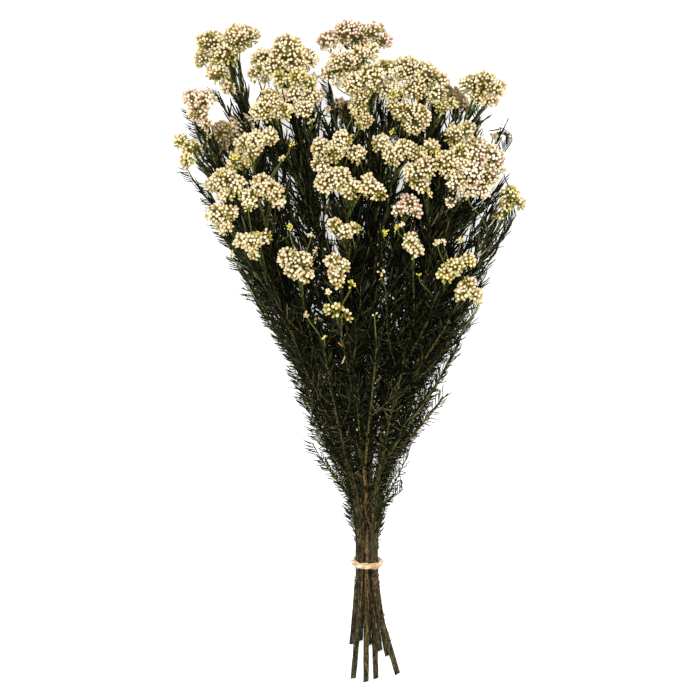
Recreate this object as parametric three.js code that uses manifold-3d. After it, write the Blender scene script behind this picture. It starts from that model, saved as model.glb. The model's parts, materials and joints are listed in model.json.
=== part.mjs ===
// A dried rice flower bunch, tied with raffia and laid down, in millimetres with +Z up.
// +Y runs from the cut ends to the flower heads, and the surface it lies on is Z = 0.
// Ten leafy stems pass through one tie. Each carries its own flower heads on side branches.

import * as THREE from "three";
import { ConvexGeometry } from "three/addons/geometries/ConvexGeometry.js";
import { mergeVertices } from "three/addons/utils/BufferGeometryUtils.js";
import Module from "manifold-3d";

const wasm = await Module();
wasm.setup();

// The middle of the bunch's box in the layout below, which becomes the origin
const ORIGIN_X = 0.5;
const ORIGIN_Y = -2.5;

// The tie, and the three rows in which the stems lie side by side in it
const TIE = new THREE.Vector3(15.3, -192, 14);
const SLOT_PITCH = 5.1;
const ROW_RISE = 4.42;
const LASHED_BELOW = 10;
const LASHED_ABOVE = 34;

// Stems: radius at the cut end, where the leaves begin, at a head and on side branches
const BARE_R = 2.4;
const BARE_SIDES = 6;
const BARE_STEPS = 6;
const LEAFY_R = 2.1;
const HEAD_R = 1.3;
const BRANCH_R = 1.5;
const BRANCH_TIP_R = 1.05;
const LEAFY_FROM_Y = -128;
const CUT_SLANT = 1.6;

// Needle leaves: length, lean from the stem, distance between whorls and width at the root
const NEEDLE = 13;
const LEANS = [46, 30, 62];
const LEAN_JITTER = 7;
const WHORL_STEP = 49;
const WHORL_TURN = 34;
const ROOT_HEIGHT = 1.4;
const ROOT_R = 1.15;
const LEAF_SIDES = 4;
const LOWEST_TIP = 1;
const LEAFY_OVERLAP = 6;
const BARE_OVERLAP = 2;
const FIRST_WHORL = 8;
const FIRST_BRANCH_WHORL = 14;
const WHORL_BELOW_HEAD = 9;
const WHORL_BELOW_TIP = 5;

// Clearances between neighbouring pieces
const GAP = 0.35;
const LOBE_GAP = 0.45;
const HEAD_GROWTH = 0.7;
const NEEDLE_TO_HEAD = 1.4;

// Flower heads: the depth of the dips between knobs, the surface that each knob takes,
// the least reach of a head from its middle, and the space between two heads
const DIP = 2.3;
const DIP_SHARE = 0.25;
const KNOB_RISE = 0.8;
const KNOB_SPACING = 9.3;
const SMALL_LOBE_SPACING = 1.25;
const SPOTS_TRIED = 40;
const SPOT_TOLERANCE = 0.3;
const LEAST_REACH = 3;
const REACH_STEP = 0.4;
const HEADS_APART = 1.6;
const GOLDEN_TURN = Math.PI * (3 - Math.sqrt(5));
const SOCKET_DEPTH = 0.1;

// Routes: their steps, how they bend and where branches leave them
const STEP = 6;
const FRAME_SPAN = 3;
const LASHED_PULLS = [0.3, 0.3];
const CROWN_PULLS = [0.16, 0.25];
const BRANCH_PULLS = [0.3, 0.35];
const LEADER_TURN = 0.5;
const BRANCH_TURN = 0.4;
const BRANCH_RISE = 0.35;
const LEAVING_TURN = 0.3;
const FORK_DROP = 70;
const FORK_SLOPE = 2.2;
const LOWEST_FORK_Y = -116;

// The forces that keep the routes of different stems apart
const PASSES = 60;
const NEAR = 24;
const REFRESH = 10;
const LEAST_ROOM = 2.62;
const MOST_ROOM = 5.2;
const ROOM_GROWTH = 0.03;
const SMOOTHING = 0.2;
const PUSH = 0.3;
const HEAD_ROOM = 2.2;

// The raffia tie: a twisted ribbon with a slanted lay, and a knot with two tails under it
const TIE_WIDE = 2.8;
const TIE_THICK = 1.3;
const TIE_SIDES = 5;
const TIE_STEPS = 5;
const TIE_TWIST = 0.62;
const TIE_SLOPE_X = 0.1;
const TIE_SLOPE_Z = 0.22;
const KNOT_DROP = -9.6;
const KNOT_KNOBS = 8;
const KNOT_SIZE = [4.4, 3.4, 2.4];
const TAIL = 15;
const TAIL_BEND = 9;
const TAIL_SAG = 2.4;
const TAIL_R = 1.5;
const TAIL_FLATNESS = 0.6;
const TAIL_TAPER = 0.6;
const TAIL_SHARES = [0, 0.35, 0.7, 1];

// The surface that the bunch lies on, as a slab to press against
const FLOOR_WIDE = 800;
const FLOOR_DEEP = 40;

const STEM_COLOUR = 0x3a3a20;
const TIE_COLOUR = 0xc9a877;

// Colours by kind of head
const HEAD_COLOURS = {
  cream: 0xe8dfc4,
  pink: 0xd9c0ae,
  green: 0xc2bd74,
  dim: 0x9c8468,
};

// A stem: its row (1 on top, 0 in the middle, -1 below), its place in the row, its cut end,
// its heads, the first of which ends the main stem, and the tips of its headless shoots.
// A head: its kind and its lobes [x, y, z, radius]. The stem enters the last lobe.
const STEMS = [
  {
    name: "01",
    row: 1,
    place: -1,
    cut: [3, -296, 22],
    heads: [
      ["cream", [-113, 152, 130, 10], [-102, 147, 134, 9], [-110, 139, 126, 7.5],
        [-124, 148, 118, 6], [-106, 150, 116, 9]],
      ["cream", [-79, 148, 136, 9.5], [-68, 142, 134, 8.5], [-90, 136, 132, 8.5],
        [-64, 131, 126, 6], [-76, 143, 122, 9]],
      ["cream", [-120, 121, 118, 9], [-108, 122, 122, 8], [-111, 111, 116, 7.5],
        [-115, 118, 106, 8]],
      ["cream", [-97, 98, 116, 6.5], [-87, 96, 122, 8.5], [-76, 101, 118, 6.5],
        [-86, 85, 112, 6], [-88, 98, 108, 7]],
      ["cream", [-56, 83, 136, 8.5], [-43, 79, 138, 9], [-50, 71, 134, 8],
        [-40, 66, 128, 7], [-48, 77, 124, 8]],
      ["cream", [-95, 184, 134, 8], [-84, 187, 138, 8.5], [-72, 191, 132, 8],
        [-88, 176, 130, 6.5], [-84, 185, 124, 8]],
    ],
    shoots: [[-78, 60, 92], [-24, 4, 96]],
  },
  {
    name: "02",
    row: 1,
    place: 0,
    cut: [14.4, -299, 23],
    heads: [
      ["cream", [-25, 181, 140, 9], [-6, 188, 144, 9], [-14, 176, 146, 9],
        [6, 174, 138, 7.5], [-26, 166, 138, 8.5], [-10, 182, 128, 9]],
      ["cream", [-22, 148, 146, 9.5], [-10, 154, 150, 10], [0, 144, 148, 8.5],
        [16, 148, 144, 9], [25, 141, 142, 8], [16, 145, 130, 8], [-4, 148, 134, 9]],
      ["cream", [-15, 79, 134, 7.5], [-7, 74, 136, 7], [-13, 66, 130, 7],
        [-9, 59, 124, 4.5], [-11, 74, 122, 7]],
      ["green", [-18, 36, 114, 6], [-4, 30, 112, 6], [-11, 35, 116, 6.5]],
      ["cream", [5, 108, 128, 6.5], [-14, 111, 124, 6], [-4, 106, 126, 7]],
      ["pink", [45, 126, 120, 6.5], [54, 133, 122, 7.5], [59, 124, 116, 6],
        [52, 128, 108, 7]],
    ],
    shoots: [[24, 4, 104]],
  },
  {
    name: "03",
    row: 1,
    place: 1,
    cut: [42.8, -292, 21],
    heads: [
      ["cream", [86, 166, 146, 11], [100, 175, 142, 10], [95, 151, 142, 10],
        [92, 163, 128, 10]],
      ["cream", [57, 157, 138, 9.5], [69, 163, 142, 10], [64, 148, 136, 8],
        [64, 157, 124, 9]],
      ["pink", [114, 178, 136, 12], [127, 172, 130, 10.5], [111, 160, 140, 12],
        [124, 156, 132, 9.5], [105, 142, 130, 8], [119, 143, 128, 8],
        [118, 166, 116, 11]],
      ["green", [85, 68, 118, 7.5], [95, 76, 120, 7.5], [106, 80, 113, 7],
        [93, 72, 106, 7]],
      ["cream", [105, 59, 108, 7.5], [100, 50, 106, 6.5], [114, 49, 100, 6],
        [104, 55, 96, 7]],
      ["cream", [54, 97, 112, 7.5], [59, 88, 108, 6.5], [56, 93, 100, 6.5]],
    ],
    shoots: [[96, 2, 84], [124, 104, 100]],
  },
  {
    name: "04",
    row: 0,
    place: -1.5,
    cut: [1.8, -265, 12],
    heads: [
      ["pink", [-142, 227, 92, 9], [-130, 225, 96, 8.5], [-137, 213, 96, 8.5],
        [-129, 203, 90, 5.5], [-136, 219, 78, 9]],
      ["green", [-151, 188, 84, 7], [-142, 180, 88, 8.5], [-146, 169, 82, 6.5],
        [-143, 182, 74, 7]],
      ["green", [-103, 169, 110, 7.5], [-109, 161, 104, 6], [-89, 166, 110, 6.5],
        [-100, 167, 98, 7]],
    ],
    shoots: [[-104, 96, 66], [-84, 46, 62]],
  },
  {
    name: "05",
    row: 0,
    place: -0.5,
    cut: [9, -262, 13],
    heads: [
      ["cream", [-56, 269, 104, 14], [-79, 261, 96, 10.5], [-38, 261, 98, 9.5],
        [-67, 254, 106, 10.5], [-48, 256, 108, 10.5], [-84, 248, 90, 8], [-58, 262, 82, 13]],
      ["green", [-63, 243, 118, 7.5], [-46, 244, 122, 8.5], [-36, 238, 116, 7],
        [-50, 242, 108, 7]],
      ["cream", [-79, 214, 124, 10], [-70, 225, 120, 9.5], [-61, 213, 126, 8.5],
        [-71, 216, 108, 10]],
      ["cream", [-50, 228, 112, 8], [-34, 227, 114, 8.5], [-42, 216, 116, 8.5],
        [-42, 222, 100, 8.5]],
    ],
    shoots: [[-34, 62, 74]],
  },
  {
    name: "06",
    row: 0,
    place: 0.5,
    cut: [27, -271, 13],
    heads: [
      ["cream", [2, 238, 112, 10], [19, 243, 116, 13], [34, 250, 110, 11], [37, 232, 114, 9],
        [10, 226, 108, 8],
        [6, 216, 106, 7.5], [14, 207, 108, 7.5], [18, 240, 94, 12]],
      ["cream", [-8, 256, 96, 12], [9, 263, 98, 10.5], [-18, 247, 94, 8], [20, 268, 92, 7],
        [0, 258, 80, 10]],
      ["cream", [50, 213, 116, 10], [63, 210, 118, 10], [57, 201, 114, 8.5],
        [41, 218, 108, 8], [56, 209, 100, 10]],
      ["cream", [28, 184, 130, 9], [37, 173, 132, 8.5], [50, 180, 134, 9], [61, 174, 130, 8],
        [73, 181, 124, 7.5], [44, 179, 118, 9]],
    ],
    shoots: [[34, 40, 76]],
  },
  {
    name: "07",
    row: 0,
    place: 1.5,
    cut: [34, -275.5, 14],
    heads: [
      ["cream", [50, 252, 106, 12], [67, 248, 108, 11.5], [81, 241, 102, 9],
        [58, 234, 112, 10.5], [77, 230, 106, 9], [66, 243, 90, 12]],
      ["cream", [108, 238, 86, 9.5], [121, 241, 88, 10.5], [131, 235, 84, 8.5],
        [115, 227, 90, 8], [126, 223, 84, 6.5], [120, 235, 72, 9]],
      ["green", [92, 222, 94, 6], [82, 218, 98, 7.5]],
      ["cream", [95, 192, 112, 9.5], [106, 197, 108, 7.5], [98, 193, 98, 8]],
      ["green", [144, 139, 92, 8.5], [152, 132, 90, 6.5], [139, 129, 92, 6],
        [132, 120, 86, 4.5], [145, 135, 80, 7]],
    ],
    shoots: [[136, 196, 88], [84, -42, 50]],
  },
  {
    name: "08",
    row: -1,
    place: -1,
    cut: [7, -258, 5.5],
    heads: [
      ["cream", [-126, 277, 62, 12], [-101, 281, 64, 12.5], [-90, 283, 60, 8],
        [-133, 261, 58, 8], [-119, 249, 64, 10.5], [-109, 236, 62, 6.5],
        [-113, 266, 66, 12], [-112, 268, 46, 12]],
      ["dim", [-115, 198, 50, 9], [-118, 186, 46, 8], [-112, 190, 9.5, 11],
        [-112, 190, 30, 11]],
      ["cream", [-96, 202, 66, 9.5], [-92, 198, 50, 9]],
      ["dim", [-81, 120, 60, 7], [-74, 112, 48, 8]],
    ],
    shoots: [[-92, 110, 24], [-52, 48, 24]],
  },
  {
    name: "09",
    row: -1,
    place: 0,
    cut: [17.2, -266, 5.4],
    heads: [
      ["pink", [-20, 278, 70, 9.5], [-5, 286, 74, 10.5], [6, 284, 72, 11], [22, 286, 70, 9.5],
        [30, 279, 66, 8], [5, 281, 54, 11]],
      ["dim", [-8, 218, 66, 8.5], [-2, 212, 52, 9]],
      ["dim", [-13, 127, 70, 8.5], [-6, 122, 56, 8]],
      ["cream", [-35, 26, 60, 6], [-30, 24, 50, 6]],
      ["dim", [0, 170, 14, 12], [12, 160, 16, 10], [-12, 163, 18, 9], [0, 163, 24, 8]],
      ["dim", [-60, 180, 20, 11], [-50, 170, 20, 10]],
    ],
    shoots: [[20, 60, 30]],
  },
  {
    name: "10",
    row: -1,
    place: 1,
    cut: [23.5, -296.5, 2],
    heads: [
      ["dim", [95, 230, 60, 6], [88, 230, 40, 9], [98, 222, 46, 9]],
      ["dim", [78, 93, 56, 7], [74, 88, 44, 8]],
      ["pink", [90, 135, 84, 7.5], [87, 124, 80, 6], [90, 130, 68, 7]],
      ["dim", [85, 185, 8, 11], [97, 178, 14, 9], [88, 180, 20, 8]],
      ["dim", [45, 200, 24, 11], [55, 190, 22, 10]],
    ],
    shoots: [[72, 44, 36], [104, 132, 50]],
  },
];

// Seeded draws, so that every build is the same
let seed = 20260;
function draw(low, high) {
  seed = (seed * 1664525 + 1013904223) % 4294967296;
  return low + ((high - low) * seed) / 4294967296;
}

const vector = (list) => new THREE.Vector3(list[0], list[1], list[2]);

// The shapes of the routes

function slotOf(stem) {
  return new THREE.Vector3(
    TIE.x + stem.place * SLOT_PITCH,
    TIE.y,
    TIE.z + stem.row * ROW_RISE,
  );
}

function curvePoints(start, startDir, end, endDir, pull) {
  const reach = start.distanceTo(end);
  const curve = new THREE.CubicBezierCurve3(
    start,
    start.clone().addScaledVector(startDir, reach * pull[0]),
    end.clone().addScaledVector(endDir, -reach * pull[1]),
    end,
  );
  return curve.getPoints(Math.max(3, Math.round(reach / STEP)));
}

function headCentre(head) {
  const centre = new THREE.Vector3();
  head.lobes.forEach((lobe) => centre.add(lobe.centre));
  return centre.divideScalar(head.lobes.length);
}

// The stem's end, sunk in the head's last lobe
function tipIn(head, axis) {
  const core = head.lobes[head.lobes.length - 1];
  return core.centre.clone().addScaledVector(axis, -SOCKET_DEPTH * core.r);
}

function mainRoute(stem) {
  const along = new THREE.Vector3(0, 1, 0);
  const slot = slotOf(stem);
  const below = slot.clone().addScaledVector(along, -LASHED_BELOW);
  const above = slot.clone().addScaledVector(along, LASHED_ABOVE);
  const cut = vector(stem.cut);
  const head = stem.heads[0];
  const axis = headCentre(head).sub(above).normalize();
  axis.z += LEADER_TURN * stem.row;
  axis.normalize();
  const legs = [
    curvePoints(cut, below.clone().sub(cut).normalize(), below, along, LASHED_PULLS),
    curvePoints(below, along, above, along, LASHED_PULLS),
    curvePoints(above, along, tipIn(head, axis), axis, CROWN_PULLS),
  ];
  const points = [...legs[0], ...legs[1].slice(1), ...legs[2].slice(1)];
  return { stem, points, head, main: true, fullRadius: BARE_R };
}

// A side branch leaves the main stem below its tip, the lower the further out it reaches
function branchRoute(stem, main, tipAt, head) {
  const level = main.points.reduce((best, p) =>
    Math.abs(p.y - tipAt.y) < Math.abs(best.y - tipAt.y) ? p : best,
  );
  const aside = Math.hypot(tipAt.x - level.x, tipAt.z - level.z);
  const drop = Math.max(FORK_DROP, FORK_SLOPE * aside);
  const forkY = Math.max(tipAt.y - drop, LOWEST_FORK_Y);
  const fork = main.points.findIndex((p) => p.y > forkY);
  const root = main.points[fork];
  const onward = main.points[fork + 1].clone().sub(root).normalize();
  const axis = tipAt.clone().sub(root).normalize();
  const leaving = axis.clone().lerp(onward, LEAVING_TURN).normalize();
  axis.add(new THREE.Vector3(0, BRANCH_RISE, BRANCH_TURN * stem.row)).normalize();
  const tip = head ? tipIn(head, axis) : tipAt;
  const points = curvePoints(root.clone(), leaving, tip, axis, BRANCH_PULLS);
  return { stem, points, head, main: false, fullRadius: BRANCH_R, parent: main, fork };
}

function routesOf(stem) {
  const main = mainRoute(stem);
  const branches = stem.heads
    .slice(1)
    .map((head) => branchRoute(stem, main, headCentre(head), head));
  const shoots = stem.shoots.map((tip) => branchRoute(stem, main, vector(tip), null));
  return [main, ...branches, ...shoots];
}

// Keeping the routes of different stems apart, and clear of heads that aren't their own

function roomAt(y) {
  const grown = LEAST_ROOM + Math.max(0, y - (TIE.y + LASHED_ABOVE)) * ROOM_GROWTH;
  return Math.min(grown, MOST_ROOM);
}

function isPinned(route, index) {
  const y = route.points[index].y;
  const lashed = y > TIE.y - LASHED_BELOW - 1 && y < TIE.y + LASHED_ABOVE + 1;
  const atEnd = index === 0 || index >= route.points.length - 2;
  return atEnd || (route.main && lashed);
}

function beadsOf(routes) {
  const beads = [];
  routes.forEach((route) => {
    route.points.forEach((at, index) => {
      beads.push({ at, route, index, pinned: isPinned(route, index), push: new THREE.Vector3() });
    });
  });
  return beads;
}

function nearPairs(beads) {
  const pairs = [];
  for (let i = 0; i < beads.length; i += 1) {
    for (let j = i + 1; j < beads.length; j += 1) {
      const apart = beads[i].route.stem !== beads[j].route.stem;
      if (apart && beads[i].at.distanceToSquared(beads[j].at) < NEAR * NEAR) {
        pairs.push([beads[i], beads[j]]);
      }
    }
  }
  return pairs;
}

function pushPairs(pairs) {
  const away = new THREE.Vector3();
  for (const [a, b] of pairs) {
    away.subVectors(a.at, b.at);
    const distance = Math.max(away.length(), 0.01);
    const lack = roomAt(a.at.y) + roomAt(b.at.y) - distance;
    if (lack > 0) {
      a.push.addScaledVector(away, (PUSH * lack) / distance);
      b.push.addScaledVector(away, (-PUSH * lack) / distance);
    }
  }
}

function pushFromHeads(beads, heads) {
  const away = new THREE.Vector3();
  for (const bead of beads) {
    for (const head of heads) {
      for (const lobe of head === bead.route.head ? [] : head.lobes) {
        away.subVectors(bead.at, lobe.centre);
        const distance = Math.max(away.length(), 0.01);
        const lack = lobe.r + HEAD_ROOM - distance;
        if (lack > 0) {
          bead.push.addScaledVector(away, (PUSH * lack) / distance);
        }
      }
    }
  }
}

function smoothRoutes(beads) {
  for (const bead of beads) {
    if (!bead.pinned) {
      const points = bead.route.points;
      const middle = points[bead.index - 1].clone().add(points[bead.index + 1]);
      bead.push.addScaledVector(middle.multiplyScalar(0.5).sub(bead.at), SMOOTHING);
    }
  }
}

function relaxRoutes(routes, heads) {
  const beads = beadsOf(routes);
  let pairs = [];
  for (let pass = 0; pass < PASSES; pass += 1) {
    if (pass % REFRESH === 0) {
      pairs = nearPairs(beads);
    }
    beads.forEach((bead) => bead.push.set(0, 0, 0));
    pushPairs(pairs);
    pushFromHeads(beads, heads);
    smoothRoutes(beads);
    for (const bead of beads) {
      if (!bead.pinned) {
        bead.at.add(bead.push);
        bead.at.z = Math.max(bead.at.z, BARE_R);
      }
    }
    routes.filter((route) => route.parent).forEach((route) => {
      route.points[0].copy(route.parent.points[route.fork]);
    });
  }
}

// Places along a route

function measure(route) {
  route.reach = [0];
  for (let i = 1; i < route.points.length; i += 1) {
    route.reach.push(route.reach[i - 1] + route.points[i].distanceTo(route.points[i - 1]));
  }
  route.length = route.reach[route.reach.length - 1];
}

function placeAt(route, distance) {
  const d = Math.min(Math.max(distance, 0), route.length);
  let i = 1;
  while (i < route.reach.length - 1 && route.reach[i] < d) {
    i += 1;
  }
  const share = (d - route.reach[i - 1]) / (route.reach[i] - route.reach[i - 1]);
  return route.points[i - 1].clone().lerp(route.points[i], share);
}

function frameAt(route, distance) {
  const ahead = placeAt(route, distance + FRAME_SPAN);
  const along = ahead.sub(placeAt(route, distance - FRAME_SPAN)).normalize();
  const across = new THREE.Vector3(1, 0, 0).addScaledVector(along, -along.x).normalize();
  const over = new THREE.Vector3().crossVectors(across, along);
  return { at: placeAt(route, distance), along, across, over };
}

function distanceAtY(route, y) {
  const index = route.points.findIndex((p) => p.y > y);
  return route.reach[index];
}

function radiusAt(route, distance) {
  if (!route.main) {
    return BRANCH_R + ((BRANCH_TIP_R - BRANCH_R) * distance) / route.length;
  }
  const share = (distance - route.leafyFrom) / (route.length - route.leafyFrom);
  return share < 0 ? BARE_R : LEAFY_R + (HEAD_R - LEAFY_R) * share;
}

// Rings and tubes

function ringAt(route, ring, sides, grow) {
  const frame = frameAt(route, ring.distance);
  const radius = ring.radius + grow;
  const corners = [];
  for (let k = 0; k < sides; k += 1) {
    const angle = ring.turn + (2 * Math.PI * k) / sides;
    const corner = frame.at.clone();
    corner.addScaledVector(frame.across, radius * Math.cos(angle));
    corner.addScaledVector(frame.over, radius * Math.sin(angle));
    corner.addScaledVector(frame.along, ring.slant * Math.cos(angle) + ring.shift);
    corners.push(corner);
  }
  return corners;
}

function solidOf(points, faces) {
  const mesh = new wasm.Mesh({
    numProp: 3,
    vertProperties: new Float32Array(points.flatMap((p) => [p.x, p.y, p.z])),
    triVerts: new Uint32Array(faces.flat()),
  });
  return new wasm.Manifold(mesh);
}

// A tube through rings of corners. A raised side of a band rises to its needle's tip.
function tubeSolid(rings, raised) {
  const points = rings.flat();
  const sides = rings[0].length;
  const faces = [];
  for (let k = 1; k < sides - 1; k += 1) {
    faces.push([0, k, k + 1]);
  }
  for (let band = 0; band < rings.length - 1; band += 1) {
    for (let k = 0; k < sides; k += 1) {
      const next = (k + 1) % sides;
      const [a, b] = [band * sides + k, band * sides + next];
      const [c, d] = [a + sides, b + sides];
      const tip = raised.get(`${band}/${k}`);
      if (tip) {
        const t = points.push(tip) - 1;
        faces.push([a, c, t], [c, d, t], [d, b, t], [b, a, t]);
      } else {
        faces.push([a, c, d], [a, d, b]);
      }
    }
  }
  const last = (rings.length - 1) * sides;
  for (let k = 1; k < sides - 1; k += 1) {
    faces.push([last, last + k + 1, last + k]);
  }
  return solidOf(points, faces);
}

// The needle leaves

function planWhorls(route) {
  route.leafyFrom = route.main ? distanceAtY(route, LEAFY_FROM_Y) : 0;
  const from = route.leafyFrom + (route.main ? FIRST_WHORL : FIRST_BRANCH_WHORL);
  const to = route.length - (route.head ? WHORL_BELOW_HEAD : WHORL_BELOW_TIP);
  const count = Math.max(1, Math.round((to - from) / WHORL_STEP));
  const turn = draw(0, Math.PI);
  route.whorls = [];
  for (let k = 0; k <= count; k += 1) {
    const distance = from + ((to - from) * k) / count;
    route.whorls.push({
      distance,
      turn: turn + THREE.MathUtils.degToRad(WHORL_TURN) * k,
      radius: radiusAt(route, distance),
      tips: [],
    });
  }
}

function needleRoot(route, whorl, side) {
  const frame = frameAt(route, whorl.distance);
  const angle = whorl.turn + (2 * Math.PI * (side + 0.5)) / LEAF_SIDES;
  const out = frame.across.clone().multiplyScalar(Math.cos(angle));
  out.addScaledVector(frame.over, Math.sin(angle));
  const root = frame.at.clone().addScaledVector(out, whorl.radius * Math.SQRT1_2);
  return { root, out, along: frame.along };
}

// The shortest distance between two straight pieces, and where on each it is
function between(a0, a1, b0, b1) {
  const [u, v, w] = [a1.clone().sub(a0), b1.clone().sub(b0), a0.clone().sub(b0)];
  const [uu, uv, vv, uw, vw] = [u.dot(u), u.dot(v), v.dot(v), u.dot(w), v.dot(w)];
  const slope = uu * vv - uv * uv;
  let s = slope > 1e-9 ? THREE.MathUtils.clamp((uv * vw - vv * uw) / slope, 0, 1) : 0;
  const t = THREE.MathUtils.clamp((uv * s + vw) / vv, 0, 1);
  s = THREE.MathUtils.clamp((uv * t - uw) / uu, 0, 1);
  const gap = w.addScaledVector(u, s).addScaledVector(v, -t).length();
  return { gap, s, t };
}

const needleR = (share) => ROOT_R * (1 - share);

function clearOfHeads(root, tip, heads) {
  const line = new THREE.Line3(root, tip);
  const nearest = new THREE.Vector3();
  return heads.every((head) => head.lobes.every((lobe) => {
    const share = line.closestPointToPointParameter(lobe.centre, true);
    line.at(share, nearest);
    return nearest.distanceTo(lobe.centre) > lobe.r + needleR(share) + NEEDLE_TO_HEAD;
  }));
}

function clearOfRoutes(root, tip, own, routes) {
  return routes.every((route) => route === own || route.points.every((p, i) => {
    if (i === 0 || p.distanceTo(root) > NEEDLE + STEP * 2) {
      return true;
    }
    const found = between(root, tip, route.points[i - 1], p);
    return found.gap > route.fullRadius + needleR(found.s) + GAP;
  }));
}

function clearOfNeedles(root, tip, whorl, taken) {
  return taken.every((other) => {
    if (other.whorl === whorl || other.root.distanceTo(root) > NEEDLE * 2.3) {
      return true;
    }
    const found = between(root, tip, other.root, other.tip);
    return found.gap > needleR(found.s) + needleR(found.t) + GAP;
  });
}

function raiseNeedles(routes, heads) {
  const taken = [];
  for (const route of routes) {
    for (const whorl of route.whorls) {
      for (let side = 0; side < LEAF_SIDES; side += 1) {
        const { root, out, along } = needleRoot(route, whorl, side);
        const length = NEEDLE * draw(0.85, 1.08);
        const jitter = draw(-LEAN_JITTER, LEAN_JITTER);
        for (const lean of LEANS) {
          const angle = THREE.MathUtils.degToRad(lean + jitter);
          const tip = root.clone().addScaledVector(out, length * Math.sin(angle));
          tip.addScaledVector(along, length * Math.cos(angle));
          const clear = tip.z > LOWEST_TIP && root.z > LOWEST_TIP
            && clearOfHeads(root, tip, heads)
            && clearOfRoutes(root, tip, route, routes)
            && clearOfNeedles(root, tip, whorl, taken);
          if (clear) {
            whorl.tips[side] = tip;
            taken.push({ root, tip, whorl });
            break;
          }
        }
      }
    }
  }
}

// A leafy tube: two rings to each whorl, with the sides between them raised to needles
function leafySolid(route, grow) {
  const rings = [];
  const raised = new Map();
  const plain = (distance, radius, shift) => {
    const ring = { distance, radius, turn: route.whorls[0].turn, slant: 0, shift };
    rings.push(ringAt(route, ring, LEAF_SIDES, grow));
  };
  plain(route.leafyFrom, radiusAt(route, route.leafyFrom), route.main ? -LEAFY_OVERLAP : 0);
  for (const whorl of route.whorls) {
    const ring = { ...whorl, slant: 0, shift: -ROOT_HEIGHT / 2 };
    if (grow === 0) {
      whorl.tips.forEach((tip, side) => raised.set(`${rings.length}/${side}`, tip));
    }
    rings.push(ringAt(route, ring, LEAF_SIDES, grow));
    rings.push(ringAt(route, { ...ring, shift: ROOT_HEIGHT / 2 }, LEAF_SIDES, grow));
  }
  const last = route.whorls[route.whorls.length - 1];
  const end = { distance: route.length, turn: last.turn, slant: 0, shift: grow };
  rings.push(ringAt(route, { ...end, radius: radiusAt(route, route.length) }, LEAF_SIDES, grow));
  return tubeSolid(rings, raised);
}

function bareSolid(route, grow) {
  const rings = [];
  for (let k = 0; k <= BARE_STEPS; k += 1) {
    const distance = ((route.leafyFrom + BARE_OVERLAP) * k) / BARE_STEPS;
    const slant = k === 0 ? CUT_SLANT : 0;
    const ring = { distance, radius: BARE_R, turn: Math.PI / 2, slant, shift: 0 };
    rings.push(ringAt(route, ring, BARE_SIDES, grow));
  }
  return tubeSolid(rings, new Map());
}

function routeSolid(route, grow) {
  const leafy = leafySolid(route, grow);
  return route.main ? leafy.add(bareSolid(route, grow)) : leafy;
}

// The flower heads

function pointsOf(geometry) {
  const points = [];
  for (let i = 0; i < geometry.attributes.position.count; i += 1) {
    points.push(new THREE.Vector3().fromBufferAttribute(geometry.attributes.position, i));
  }
  return points;
}

// Directions spread evenly over a ball
function evenDirections(count) {
  const directions = [];
  for (let k = 0; k < count; k += 1) {
    const height = 1 - (2 * k + 1) / count;
    const width = Math.sqrt(1 - height * height);
    const turn = k * GOLDEN_TURN;
    directions.push(new THREE.Vector3(width * Math.cos(turn), width * Math.sin(turn), height));
  }
  return directions;
}

// Faces for knobs in these directions, with a dip between each three of them
function knobPattern(directions) {
  const hull = new ConvexGeometry(directions);
  hull.deleteAttribute("normal");
  const merged = mergeVertices(hull, 1e-5);
  const points = pointsOf(merged);
  const count = points.length;
  const dipBeside = new Map();
  for (let f = 0; f < merged.index.count; f += 3) {
    const corners = [0, 1, 2].map((k) => merged.index.getX(f + k));
    const middle = new THREE.Vector3();
    corners.forEach((corner) => middle.add(points[corner]));
    const dip = points.push(middle.normalize()) - 1;
    corners.forEach((corner, k) => dipBeside.set(`${corner}/${corners[(k + 1) % 3]}`, dip));
  }
  const faces = [];
  dipBeside.forEach((left, edge) => {
    const [from, to] = edge.split("/").map(Number);
    faces.push([from, dipBeside.get(`${to}/${from}`), left]);
  });
  return { count, points, faces };
}

function headsOf(plan) {
  return plan.heads.map(([kind, ...lobes], index) => {
    const balls = lobes.map(([x, y, z, r]) => ({ centre: new THREE.Vector3(x, y, z), r }));
    const head = { name: `head_${plan.name}${"abcdefg"[index]}`, kind, lobes: balls };
    head.middle = headCentre(head);
    head.pattern = knobPattern(knobDirections(head));
    return head;
  });
}

// Places on each lobe where nothing of the head is further out, the bare side of the lobe first
function exposedSpots(head) {
  const spots = [];
  for (const lobe of head.lobes) {
    const turns = [0, 0, 0].map(() => draw(0, 2 * Math.PI));
    const turn = new THREE.Quaternion().setFromEuler(new THREE.Euler(...turns));
    const tries = evenDirections(SPOTS_TRIED).map((way) => way.applyQuaternion(turn));
    if (lobe.centre.z < lobe.r) {
      tries.unshift(new THREE.Vector3(0, 0, -1));
    }
    for (const way of tries) {
      const at = way.multiplyScalar(lobe.r).add(lobe.centre);
      const direction = at.clone().sub(head.middle);
      const distance = direction.length();
      if (reachOf(head, direction.normalize(), []) < distance + SPOT_TOLERANCE) {
        spots.push({ at, direction, spacing: Math.min(KNOB_SPACING, lobe.r * SMALL_LOBE_SPACING) });
      }
    }
  }
  return spots;
}

// A knob stands on each such place that no other knob is near
function knobDirections(head) {
  const spots = exposedSpots(head);
  const knobs = [];
  for (const spot of spots) {
    if (knobs.every((knob) => knob.at.distanceTo(spot.at) > spot.spacing)) {
      knobs.push(spot);
    }
  }
  return knobs.map((knob) => knob.direction);
}

// How far outside a head's lobes a point is, or how far inside, below zero
function depthAt(lobes, point) {
  return lobes.reduce((least, lobe) => Math.min(least, point.distanceTo(lobe.centre) - lobe.r), 1e6);
}

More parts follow.
